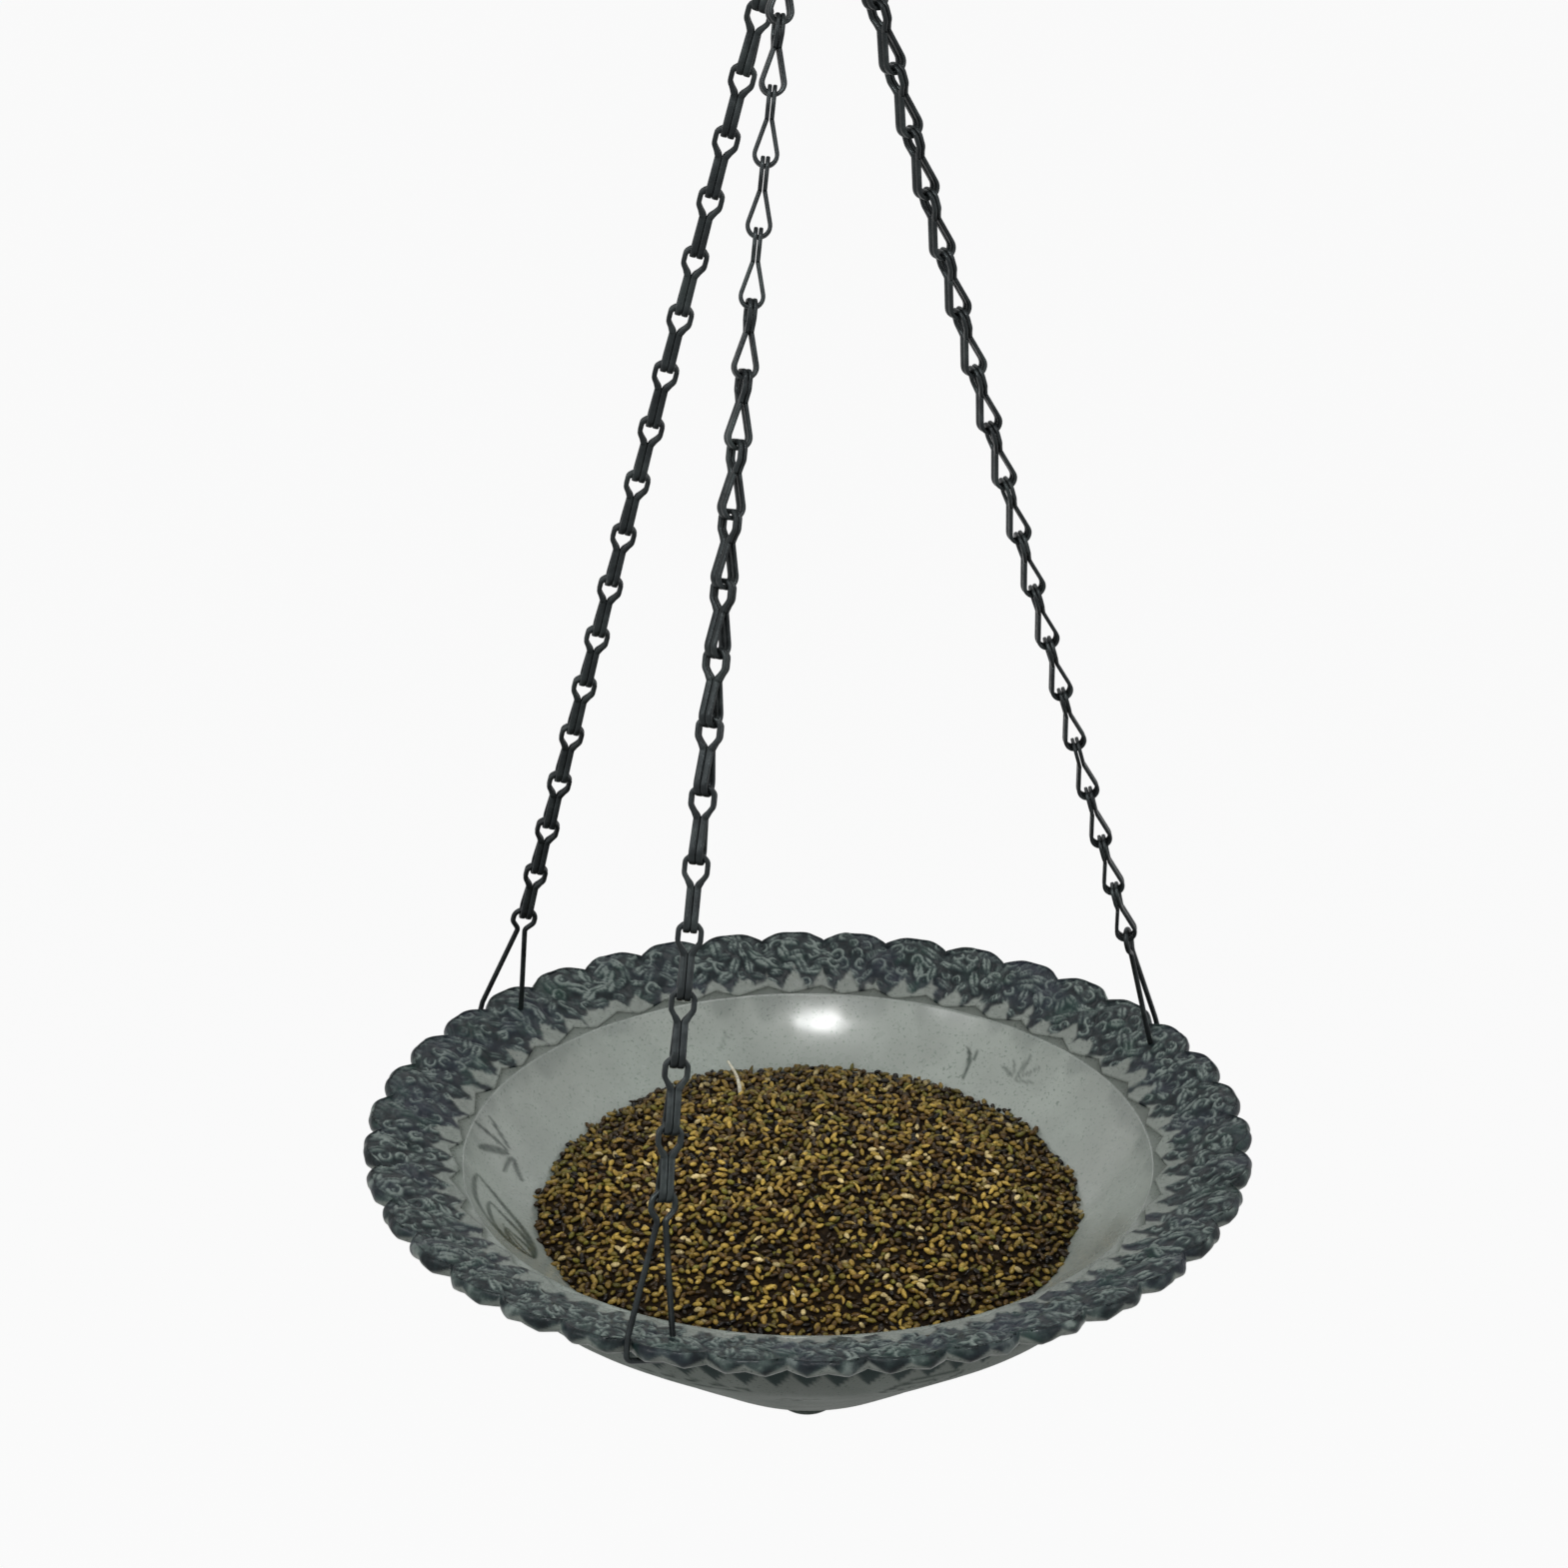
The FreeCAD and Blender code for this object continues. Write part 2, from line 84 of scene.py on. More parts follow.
# Bowl, as in the part, with radii and heights from the middle of the rim
RIM_R = 150.0  # mean radius of the scalloped edge
LOBES = 38
NOTCH_AZ = 30.8  # heading of the first notch
LOBE_OUT = 2.0  # crest beyond the mean radius
LOBE_IN = 2.8  # notch inside the mean radius
LOBE_DIMPLE = 0.3
BAND_W = 26.5
BAND_T = 4.6
BAND_STEP = 1.0  # how far the band stands proud of the wall inside
BAND_SLOPE = math.radians(18.5)
EDGE_ROUND = 2.2
TOOTH = 4.0  # length of the points on the band's inner edge
TOOTH_TIP = 0.60  # their place in the lobe
WALL = 6.0
FLOOR = 12.0
SHOULDER = np.array((105.0, -42.6))
FOOT = np.array((49.5, -85.0))
KNOB_R = 12.5
KNOB_NECK_R = 9.5
KNOB_H = 15.5
KNOB_CAP = 6.5  # height of its round end
KNOB_BRIM = 1.6  # height of its edge
RIM_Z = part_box("bowl")[1].z / MM - LOBE_OUT * math.tan(BAND_SLOPE)

# depth from the band's edge, place in the lobe, radius and height of the cast bosses
BOSSES = ((8.0, 0.5, 8.5, 1.7), (16.0, 0.0, 5.2, 1.4))

# depth, places, radius and height of the small lumps over them
LUMPS = (
    (1.8, (0.14, 0.38, 0.62, 0.86), 3.3, 0.7),
    (6.6, (0.02, 0.27, 0.52, 0.77), 3.2, 0.9),
    (11.4, (0.16, 0.42, 0.70, 0.94), 3.1, 0.9),
    (16.2, (0.04, 0.32, 0.60, 0.84), 3.0, 0.9),
    (20.8, (0.18, 0.46, 0.78), 2.9, 0.8),
    (25.2, (0.30, 0.60, 0.92), 2.5, 0.8),
    (29.0, (0.62,), 1.9, 0.6),
)

LUMP_CREST = 0.8  # height of a lump at which the glaze breaks palest
NOTCH_SINK = 0.9  # depth of the grooves between lobes

# Columns of points in a lobe and rows across the band
BAND_COLUMNS = 32
BAND_ROWS = 44
EDGE_ROWS = 14
UNDER_ROWS = 8

# Columns of points in a lobe and spacing of the rows on the wall
WALL_COLUMNS = 16
INSIDE_STEP = 0.9
OUTSIDE_STEP = 2.0
COVERED_STEP = 9.0
COVERED_DEPTH = 10.0  # below the heap's edge, from where the wall is never seen

# Strength of the pale glaze's colour inside, outside and on the band's bare edge: one glaze in lit and shaded
# copies, with painted light inside and painted shade outside and on the edge
INSIDE_PAINTED_LIGHT = 1.08
OUTSIDE_PAINTED_SHADE = 0.80
EDGE_PAINTED_SHADE = 0.80

# Brushed motifs
MOTIF_R = 112.0  # radius at which their widths are true
MOTIF_REACH = 34.0  # beyond which no motif reaches from its middle
DEEP_INK = 0.85  # on the knob

# Dark glaze: how strongly it pools, and the border that it leaves inside and outside
KNOB_POOL = 0.8
LIP_POOL = 0.08
EDGE_POOL = 0.28
DARK_WIDTH = 21.0  # of the band, from its edge to where pale points start
DARK_POINT = 8.0
BORDER_DEPTH = 12.0  # below the band outside
BORDER_POINT = 9.0

# Grain lying in the bowl
SEED_DEPTH = 35.0  # edge of the heap below the rim
SEED_CROWN = 14.0  # rise of the heap in its middle
SEED_LEAN = 5.0  # how much higher its edge lies at the back than at the sides
SEED_PLAY = 0.2
MOUND_RISE = 0.5
MOUNDS = ((20, 31), (85, 27), (150, 38))  # heading in degrees and length of its waves
GRAIN_SPACING = 2.6
GRAIN_HALF_LENGTH = (1.45, 2.15)
GRAIN_HALF_WIDTH = (0.80, 1.12)
GRAIN_FLATNESS = 0.86
GRAIN_TILT = 0.38  # radians, as a standard deviation
GRAIN_LIFT = (-1.5, 0.15)  # of the middle of a grain from the heap's top
HUSKS = 0.05  # share of thin, bent grains
BED_SINK = 1.6  # how far the dark bed lies below the heap's top
BED_UNDERSIDE = ((0.85, -44.0), (0.4, -72.0), (0.001, -80.0))  # share of the way out, height
BED_COLUMNS = 240
BED_ROWS = 50

# colour of the grains and the share that has it
GRAIN_COLOURS = (
    ((0.440, 0.305, 0.065), 0.17), ((0.290, 0.190, 0.040), 0.17), ((0.185, 0.142, 0.026), 0.13),
    ((0.110, 0.062, 0.014), 0.18), ((0.036, 0.021, 0.007), 0.18), ((0.620, 0.500, 0.240), 0.04),
    ((0.200, 0.178, 0.030), 0.05), ((0.008, 0.005, 0.002), 0.08),
)

# Straw that sticks up out of the grain
STRAW_FOOT = (-25.0, 68.0)
STRAW_REACH = (-4.5, 1.0, 12.5)  # from its foot to its end
STRAW_BOW = 1.1
STRAW_W = 1.6
STRAW_TINT = (0.80, 0.78, 0.66)

# Share of white that the camera sees in the floor, and the white behind that matches it
FLOOR_GLOW = 0.93
BACKGROUND_WHITE = 0.957
FLOOR_SIZE = 60.0
FLOOR_Z = -1.15
SKY_LEVEL = 0.52

# name, place, size and watts of the lamps
LAMPS = (
    ("glint", (-0.08, -0.51, 0.33), (0.17, 0.09), 4.0),
    ("left", (-1.1, -0.8, 0.35), (0.6, 0.6), 7.5),
    ("right", (1.3, -0.7, 0.1), (0.8, 0.8), 5.0),
    ("behind", (0.1, 0.7, 0.8), (0.5, 0.5), 3.0),
)

# Camera, from a fit to the rim and the chains
PHOTO_PX = 1569
FOCAL_PX = 2975
AXIS_PX = 809.4  # column of the bath's axis
CAMERA_BACK = 0.9012
CAMERA_ABOVE_RIM = 0.4938
CAMERA_TILT = math.radians(22.3)
CAMERA_ROLL = math.radians(0.17)
SENSOR_MM = 36


def unit(v):
    v = np.asarray(v, float)
    return v / np.linalg.norm(v)


def units(v):
    """Each row of v at length one."""
    return v / np.maximum(np.linalg.norm(v, axis=1), 1e-9)[:, None]


def heading(degrees):
    a = math.radians(degrees)
    return np.array([math.cos(a), math.sin(a), 0.0])


def smoothstep(lo, hi, x):
    t = np.clip((np.asarray(x, float) - lo) / (hi - lo), 0, 1)
    return t * t * (3 - 2 * t)


def lattice(ix, iy, iz, seed):
    """One fixed value from 0 to 1 for each corner of the noise cells."""
    h = ix * 374761393 + iy * 668265263 + iz * 2147483647 + seed * 1274126177
    h = (h ^ (h >> 13)) * 1274126177
    return ((h ^ (h >> 16)) & 0xFFFF) / 65535.0


def noise(p, size, seed=0):
    """Smooth noise from 0 to 1 at points p, with cells of the given size."""
    q = np.asarray(p, float) / size
    cell = np.floor(q).astype(np.int64)
    f = q - cell
    f = f * f * (3 - 2 * f)
    total = np.zeros(len(q))
    for corner in np.ndindex(2, 2, 2):
        weight = np.prod(np.where(corner, f, 1 - f), axis=1)
        at = cell + corner
        total += weight * lattice(at[:, 0], at[:, 1], at[:, 2], seed)
    return total


def make_mesh(name, points, faces, material, attributes=None):
    """Mesh from points in millimetres and faces, with point attributes, riding on the bath."""
    mesh = bpy.data.meshes.new(name)
    mesh.from_pydata((np.asarray(points) * MM).tolist(), [], np.asarray(faces).tolist())
    mesh.update()
    for key, values in (attributes or {}).items():
        values = np.asarray(values, np.float32)
        if values.ndim == 1:
            mesh.attributes.new(key, "FLOAT", "POINT").data.foreach_set("value", values)
        else:
            rgba = np.column_stack([values, np.ones(len(values), np.float32)])
            mesh.attributes.new(key, "FLOAT_COLOR", "POINT").data.foreach_set("color", rgba.ravel())
    mesh.polygons.foreach_set("use_smooth", [True] * len(mesh.polygons))
    mesh.materials.append(material)
    piece = bpy.data.objects.new(name, mesh)
    bpy.context.scene.collection.objects.link(piece)
    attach(piece, "bath_body")
    return piece


def grid_faces(rows, columns, close_rows=False):
    """Quads of rows of points, each row closed on itself."""
    r, c = np.meshgrid(np.arange(rows if close_rows else rows - 1), np.arange(columns), indexing="ij")
    r1 = (r + 1) % rows
    c1 = (c + 1) % columns
    quads = np.stack([r * columns + c, r * columns + c1, r1 * columns + c1, r1 * columns + c], -1)
    return quads.reshape(-1, 4)


def polyline(points, step):
    """Points along a polyline, evenly spaced at about the given step."""
    points = np.asarray(points, float)
    along = path_length(points)
    s = np.linspace(0, along[-1], max(2, int(round(along[-1] / step)) + 1))
    return np.stack([np.interp(s, along, points[:, k]) for k in range(points.shape[1])], 1)


def path_length(points):
    """Distance along a path at each of its points."""
    return np.concatenate([[0], np.cumsum(np.linalg.norm(np.diff(points, axis=0), axis=1))])


def arc_points(centre, r, a0, a1, count):
    """Points on an arc in a plane, angles in radians."""
    a = np.linspace(a0, a1, count)
    return np.stack([centre[0] + r * np.cos(a), centre[1] + r * np.sin(a)], 1)


def angle_at(centre, point):
    return math.atan2(point[1] - centre[1], point[0] - centre[0])


# Materials

def new_material(name):
    material = bpy.data.materials.new(name)
    material.use_nodes = True
    nodes = material.node_tree.nodes
    return material, nodes, material.node_tree.links, nodes["Principled BSDF"]


def texture(nodes, links, scale, detail=4.0, rough=0.55, stretch=None):
    """Noise in the object's own coordinates, drawn out along an axis if asked."""
    place = nodes.new("ShaderNodeTexCoord")
    made = nodes.new("ShaderNodeTexNoise")
    made.inputs["Scale"].default_value = scale
    made.inputs["Detail"].default_value = detail
    made.inputs["Roughness"].default_value = rough
    source = place.outputs["Object"]
    if stretch:
        mapping = nodes.new("ShaderNodeMapping")
        mapping.inputs["Scale"].default_value = stretch
        links.new(source, mapping.inputs["Vector"])
        source = mapping.outputs["Vector"]
    links.new(source, made.inputs["Vector"])
    return made.outputs["Fac"]


def ramp(nodes, links, source, stops):
    """Colour ramp with (place, colour) stops, where a colour may be one grey value."""
    made = nodes.new("ShaderNodeValToRGB")
    elements = made.color_ramp.elements
    while len(elements) < len(stops):
        elements.new(0.5)
    for element, (place, colour) in zip(elements, stops):
        element.position = place
        element.color = (*(colour if isinstance(colour, tuple) else (colour,) * 3), 1)
    links.new(source, made.inputs["Fac"])
    return made.outputs["Color"]


def mix(nodes, links, factor, a, b, blend="MIX"):
    """Mix of two colours, each a socket or a value."""
    made = nodes.new("ShaderNodeMix")
    made.data_type = "RGBA"
    made.blend_type = blend
    for value, key in ((factor, 0), (a, 6), (b, 7)):
        if hasattr(value, "is_output"):
            links.new(value, made.inputs[key])
        elif key:
            made.inputs[key].default_value = (*value, 1)
        else:
            made.inputs[key].default_value = value
    return made.outputs[2]


def bump(nodes, links, height, strength, distance, below=None):
    made = nodes.new("ShaderNodeBump")
    made.inputs["Strength"].default_value = strength
    made.inputs["Distance"].default_value = distance
    links.new(height, made.inputs["Height"])
    if below:
        links.new(below, made.inputs["Normal"])
    return made.outputs["Normal"]


def attribute(nodes, name, output="Fac"):
    made = nodes.new("ShaderNodeAttribute")
    made.attribute_name = name
    return made.outputs[output]


def pale_glaze(nodes, links, shade):
    """Colour of the pale grey-green glaze: clouds, soft upright veils and fine specks, all scaled by shade,
    which is painted light or painted shade.
    """
    def shaded(*colour):
        return tuple(shade * c for c in colour)

    cloud = ramp(nodes, links, texture(nodes, links, 24, 5, 0.6), [
        (0.30, shaded(0.165, 0.200, 0.174)), (0.52, shaded(0.215, 0.254, 0.224)),
        (0.74, shaded(0.265, 0.306, 0.272))])
    veil = ramp(nodes, links, texture(nodes, links, 70, 3, 0.5, (1, 1, 0.12)), [(0.34, 0.80), (0.66, 1.0)])
    veiled = mix(nodes, links, 1.0, cloud, veil, "MULTIPLY")
    warmed = mix(nodes, links, texture(nodes, links, 9, 2), veiled, shaded(0.220, 0.228, 0.208))
    speck = ramp(nodes, links, texture(nodes, links, 950, 2), [(0.33, 0.0), (0.40, 1.0)])
    return mix(nodes, links, speck, shaded(0.120, 0.145, 0.124), warmed)


def glaze_material(name, shade, roughness, specular, coat):
    """Pale glaze over a cast body, scaled as painted light or shade, with brushed ink, dark pools of glaze
    and painted shade towards the knob.
    """
    material, nodes, links, shader = new_material(name)
    pale = pale_glaze(nodes, links, shade)
    pooled = mix(nodes, links, attribute(nodes, "pool_and_shade"), pale, (0.018, 0.030, 0.028))
    wash = ramp(nodes, links, texture(nodes, links, 420, 3, 0.6), [
        (0.32, (0.060, 0.080, 0.064)), (0.62, (0.014, 0.024, 0.018))])
    inked = mix(nodes, links, attribute(nodes, "ink"), pooled, wash)
    links.new(inked, shader.inputs["Base Color"])
    rough = ramp(nodes, links, texture(nodes, links, 60, 4), [(0.3, roughness), (0.7, roughness + 0.14)])
    links.new(rough, shader.inputs["Roughness"])
    soft = bump(nodes, links, texture(nodes, links, 70, 3), 0.2, 0.0008)
    links.new(bump(nodes, links, texture(nodes, links, 1400, 2), 0.10, 0.0001, soft), shader.inputs["Normal"])
    shader.inputs["Specular IOR Level"].default_value = specular
    shader.inputs["Coat Weight"].default_value = coat
    shader.inputs["Coat Roughness"].default_value = 0.15
    return material


def band_material():
    """Dark green glaze that pools in the hollows of the relief and breaks pale on its lumps."""
    material, nodes, links, shader = new_material("relief_glaze")
    level = nodes.new("ShaderNodeMath")
    level.operation = "MULTIPLY_ADD"
    level.inputs[1].default_value = 0.8
    links.new(texture(nodes, links, 260, 4, 0.65), level.inputs[0])
    links.new(attribute(nodes, "relief"), level.inputs[2])
    glaze = ramp(nodes, links, level.outputs[0], [
        (0.36, (0.004, 0.007, 0.008)), (0.54, (0.012, 0.019, 0.020)), (0.76, (0.044, 0.060, 0.056)),
        (0.96, (0.135, 0.162, 0.148))])
    blue = ramp(nodes, links, texture(nodes, links, 45, 2), [(0.48, 0.0), (0.70, 0.45)])
    cooled = mix(nodes, links, blue, glaze, (0.020, 0.023, 0.038))
    green = ramp(nodes, links, texture(nodes, links, 80, 3), [(0.54, 0.0), (0.74, 0.5)])
    coloured = mix(nodes, links, green, cooled, (0.011, 0.036, 0.025))
    # the bare edge takes the pale glaze at its painted-shade strength
    bared = mix(nodes, links, attribute(nodes, "bare"), coloured, pale_glaze(nodes, links, EDGE_PAINTED_SHADE))
    links.new(bared, shader.inputs["Base Color"])
    rough = ramp(nodes, links, texture(nodes, links, 120, 4), [(0.3, 0.28), (0.7, 0.50)])
    links.new(rough, shader.inputs["Roughness"])
    links.new(bump(nodes, links, texture(nodes, links, 460, 4), 0.5, 0.0006), shader.inputs["Normal"])
    shader.inputs["Specular IOR Level"].default_value = 0.12
    shader.inputs["Coat Weight"].default_value = 0.05
    shader.inputs["Coat Roughness"].default_value = 0.15
    return material


def iron_material():
    """Dark gunmetal finish with a grey-green bloom, small pits and worn edges."""
    material, nodes, links, shader = new_material("dark_iron")
    tone = ramp(nodes, links, texture(nodes, links, 160, 5, 0.6), [
        (0.30, (0.007, 0.009, 0.010)), (0.55, (0.015, 0.019, 0.020)), (0.75, (0.036, 0.043, 0.044))])
    bloom = ramp(nodes, links, texture(nodes, links, 45, 3), [(0.50, 0.0), (0.75, 0.45)])
    bloomed = mix(nodes, links, bloom, tone, (0.045, 0.058, 0.055))
    shape = nodes.new("ShaderNodeNewGeometry")
    edge = ramp(nodes, links, shape.outputs["Pointiness"], [(0.52, 0.0), (0.64, 0.55)])
    links.new(mix(nodes, links, edge, bloomed, (0.100, 0.110, 0.108)), shader.inputs["Base Color"])
    rough = ramp(nodes, links, texture(nodes, links, 300, 4), [(0.3, 0.34), (0.7, 0.55)])
    links.new(rough, shader.inputs["Roughness"])
    links.new(bump(nodes, links, texture(nodes, links, 900, 4), 0.5, 0.0002), shader.inputs["Normal"])
    shader.inputs["Metallic"].default_value = 0.7
    return material


def grain_material():
    """Dry grain, each one in its own colour with a finely mottled skin."""
    material, nodes, links, shader = new_material("grain")
    skin = texture(nodes, links, 1500, 3)
    shade = ramp(nodes, links, skin, [(0.3, (0.55, 0.50, 0.42)), (0.65, (1.0, 1.0, 1.0))])
    coloured = mix(nodes, links, 1.0, attribute(nodes, "tint", "Color"), shade, "MULTIPLY")
    links.new(coloured, shader.inputs["Base Color"])
    links.new(bump(nodes, links, skin, 0.35, 0.0002), shader.inputs["Normal"])
    shader.inputs["Roughness"].default_value = 0.40
    shader.inputs["Specular IOR Level"].default_value = 0.1
    shader.inputs["Coat Weight"].default_value = 0.18
    shader.inputs["Coat Roughness"].default_value = 0.16
    return material


def bed_material():
    """Dark husks and shadow under the top layer of grain."""
    material, nodes, links, shader = new_material("grain_bed")
    tone = ramp(nodes, links, texture(nodes, links, 420, 5, 0.7), [
        (0.35, (0.004, 0.0025, 0.0015)), (0.60, (0.015, 0.009, 0.004)), (0.80, (0.040, 0.025, 0.009))])
    links.new(tone, shader.inputs["Base Color"])
    links.new(bump(nodes, links, texture(nodes, links, 500, 3), 0.8, 0.001), shader.inputs["Normal"])
    shader.inputs["Roughness"].default_value = 0.85
    shader.inputs["Specular IOR Level"].default_value = 0.08
    return material


# Chains

def tube(path, outward, width, thickness, sides=12, squareness=0.62, closed=True):
    """Tube along a path with a rounded oblong section, thin along the outward direction."""
    path = np.asarray(path, float)
    if closed:
        forward = units(np.roll(path, -1, 0) - np.roll(path, 1, 0))
    else:
        forward = units(np.gradient(path, axis=0))
    across = units(np.cross(forward, outward))
    normal = np.cross(across, forward)
    a = np.arange(sides) * 2 * np.pi / sides
    c, s = np.cos(a), np.sin(a)
    wide = np.sign(c) * np.abs(c) ** squareness / 2
    thin = np.sign(s) * np.abs(s) ** squareness / 2
    width = np.broadcast_to(width, len(path))[:, None, None]
    thickness = np.broadcast_to(thickness, len(path))[:, None, None]
    points = path[:, None] + across[:, None] * wide[None, :, None] * width
    points = points + normal[:, None] * thin[None, :, None] * thickness
    return points.reshape(-1, 3), grid_faces(len(path), sides, closed)


def rounded_path(corners, count=6):
    """Open path through corners (point, radius), each rounded by an arc."""
    out = [np.asarray(corners[0][0], float)]
    for (a, _), (p, r), (b, _) in zip(corners, corners[1:], corners[2:]):
        p = np.asarray(p, float)
        before, after = unit(a - p), unit(b - p)
        half = math.acos(np.clip(before @ after, -1, 1)) / 2
        cut = r / math.tan(half)
        centre = p + unit(before + after) * (r / math.sin(half))
        start, end = p + before * cut - centre, p + after * cut - centre
        turn = math.pi - 2 * half
        for t in np.linspace(0, 1, count):
            reach = start * math.sin((1 - t) * turn) + end * math.sin(t * turn)
            out.append(centre + reach / math.sin(turn))
    out.append(np.asarray(corners[-1][0], float))
    return np.array(out)


def link_mesh():
    """One closed wire loop, pinched to two strands and folded: two eyes above, one bend below."""
    strand_x = WAIST_W / 4
    eye_x = (EYE_W - EYE_WIRE) / 2
    layer = (STRIP_T + PINCH_GAP) / 2
    neck_z = -WINDOW_H - STRIP_T
    bend_r = (BEND_W - STRIP_T) / 2
    bend_z = -PITCH - BAR_SEAT + BEND_W / 2 - STRIP_T
    bar_end, shoulder, side, neck = EYE_ROUNDS
    corners = [
        ((0, BAR_H / 2), 0), ((eye_x * 0.56, BAR_H / 2), bar_end), ((eye_x, -BAR_H * 0.4), shoulder),
        ((eye_x, -WINDOW_SQUARE), side), ((strand_x, neck_z + 0.3), neck), ((strand_x, neck_z), 0)]
    eye = polyline(rounded_path(corners), EYE_STEP)
    drop = bend_z - neck_z
    touch = math.atan2(-drop, layer) - math.acos(bend_r / math.hypot(layer, drop))
    bend = arc_points((0, bend_z), bend_r, touch, -math.pi / 2, 12)
    leg = polyline(np.concatenate([[(layer, neck_z)], bend]), LEG_STEP)
    front = [(x, layer, z) for x, z in eye] + [(strand_x, y, z) for y, z in leg[1:]]
    right = front + [(x, -y, z) for x, y, z in reversed(front)][1:]
    left = [(-x, y, z) for x, y, z in reversed(right)]
    path = np.array(right + left[1:-1])

    forward = units(np.roll(path, -1, 0) - np.roll(path, 1, 0))
    outward = np.cross((1.0, 0, 0), forward) * np.sign(path[:, :1])
    in_eye = path[:, 2] > neck_z - 0.4
    outward[in_eye] = np.stack([0 * path[:, 1], np.sign(path[:, 1]), 0 * path[:, 1]], 1)[in_eye]
    waist = smoothstep(-WINDOW_SQUARE - 1.2, neck_z + 0.4, path[:, 2])
    width = EYE_WIRE + (WAIST_W / 2 - EYE_WIRE) * waist
    return tube(path, outward, width, STRIP_T)


def chain_frame(place, azimuth):
    """First bar's seat on the ring and the chain's axes: z runs up it, y stands level and away."""
    turn = place * 2 * math.asin(TOP_SPACING / 2 / RING_R)
    start = heading(RING_AZ) * RING_R * math.sin(turn)
    start[2] = RING_LOW_Z + RING_R * (1 - math.cos(turn))
    foot = heading(azimuth) * ATTACH_R
    foot[2] = RIM_Z + band_z(ATTACH_R)
    z = unit(start - foot)
    y = unit(np.array([0, 1, 0]) - z * z[1])
    return start + z * (RING_WIRE / 2 + RING_PLAY), np.cross(y, z), y, z


def build_chains(material):
    """The links of each chain in one piece, each turned as in the part."""
    points, faces = link_mesh()
    for name, place, azimuth, knots in CHAINS:
        origin, x, y, z = chain_frame(place, azimuth)
        placed = []
        for i in range(LINKS):
            a = math.radians(np.interp(i, [k[0] for k in knots], [k[1] for k in knots]))
            axes = np.array([x * math.cos(a) + y * math.sin(a), y * math.cos(a) - x * math.sin(a), z])
            placed.append(origin - z * (i * PITCH) + points @ axes)
        joined = np.concatenate([faces + len(points) * i for i in range(LINKS)])
        piece = make_mesh("links_" + name, np.concatenate(placed), joined, material)
        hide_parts("chain_" + name)


# Bowl

def band_z(r):
    """Height of the band's upper face at radius r, from the rim."""
    return -(RIM_R - r) * math.tan(BAND_SLOPE)


def flank():
    """Direction up the straight flank and its normal into the bowl."""
    along = unit(SHOULDER - FOOT)
    return along, np.array([-along[1], along[0]])


def side_arc(top, shoulder, normal):
    """Centre and radius of the arc that runs down from the top into the flank."""
    chord = top - shoulder
    r = chord @ chord / (2 * normal @ chord)
    return shoulder + normal * r, r


def meridian(wall, floor):
    """Outline from the band down to the axis, moved inward by wall at the top and floor below."""
    normal = flank()[1]
    top_r = RIM_R - BAND_W + BAND_STEP
    top = np.array([top_r, band_z(top_r) - BAND_T + BAND_STEP])
    centre, r = side_arc(top, SHOULDER, normal)
    top = centre + unit(top - centre) * (r - wall)
    shoulder = SHOULDER + normal * floor
    foot = FOOT + normal * floor
    centre, r = side_arc(top, shoulder, normal)
    start, end = angle_at(centre, top), math.atan2(-normal[1], -normal[0])
    side = arc_points(centre, r, start % (2 * math.pi), end % (2 * math.pi), 30)
    ball = np.array([0, FOOT[1] - normal[1] * FOOT[0] / normal[0]])
    low = arc_points(ball, np.linalg.norm(foot - ball), angle_at(ball, foot), -math.pi / 2, 24)
    return np.concatenate([side, low])


def lobe_place(azimuth):
    """Lobe number and place in it, from 0 to 1, at an azimuth in degrees."""
    t = (azimuth - NOTCH_AZ) / (360.0 / LOBES)
    k = np.floor(t)
    return k, t - k


def outer_radius(azimuth):
    """Scalloped edge: a round arc for each lobe, with a shallow dimple in its middle."""
    place = lobe_place(azimuth)[1]
    half = math.pi / LOBES
    notch = RIM_R - LOBE_IN
    rise = RIM_R + LOBE_OUT - notch * math.cos(half)
    chord = notch * math.sin(half)
    r = (chord ** 2 + rise ** 2) / (2 * rise)
    x = (2 * place - 1) * chord
    edge = notch * math.cos(half) + np.sqrt(r * r - x * x) - (r - rise)
    dimple = LOBE_DIMPLE * (1 + np.cos(4 * math.pi * place)) * smoothstep(0, 0.2, 0.5 - np.abs(place - 0.5))
    return edge / np.cos((2 * place - 1) * half) - dimple


def inner_radius(azimuth):
    """Toothed inner edge: one leaning point for each lobe."""
    place = lobe_place(azimuth)[1]
    point = np.minimum(place / TOOTH_TIP, (1 - place) / (1 - TOOTH_TIP))
    return RIM_R - BAND_W - TOOTH * point ** 0.85


def round_the_bowl(per_lobe):
    """Number of columns, their headings in degrees and as level unit vectors."""
    columns = LOBES * per_lobe
    azimuth = np.arange(columns) * 360.0 / columns + NOTCH_AZ
    return columns, azimuth, np.stack([np.cos(np.radians(azimuth)), np.sin(np.radians(azimuth))], 1)


def lump_list():
    """Lobe, place, depth, radius, height, turn and curl of every small lump, a little uneven."""
    rng = np.random.default_rng(SEED)
    out = []
    for lobe in range(LOBES):
        for depth, places, radius, height in LUMPS:
            for place in places:
                j = rng.normal(0, 1, 4)
                out.append((lobe, place + 0.03 * j[0], depth + 0.5 * j[1], radius * (1 + 0.12 * j[2]),
                            height * (1 + 0.2 * j[3]), rng.uniform(-math.pi, math.pi), rng.random() < 0.45))
    return out


def boss_height(place, depth, width):
    """Height of the cast bosses at a place in a lobe of the given width."""
    cast = np.zeros(len(place))
    for row, middle, size, tall in BOSSES:
        dx = (np.abs(place - middle + 0.5) % 1.0 - 0.5) * width
        ball = (size ** 2 + tall ** 2) / (2 * tall)
        d2 = dx ** 2 + (depth - row) ** 2
        cast = np.maximum(cast, np.sqrt(np.maximum(ball ** 2 - d2, 0)) - (ball - tall))
    return cast


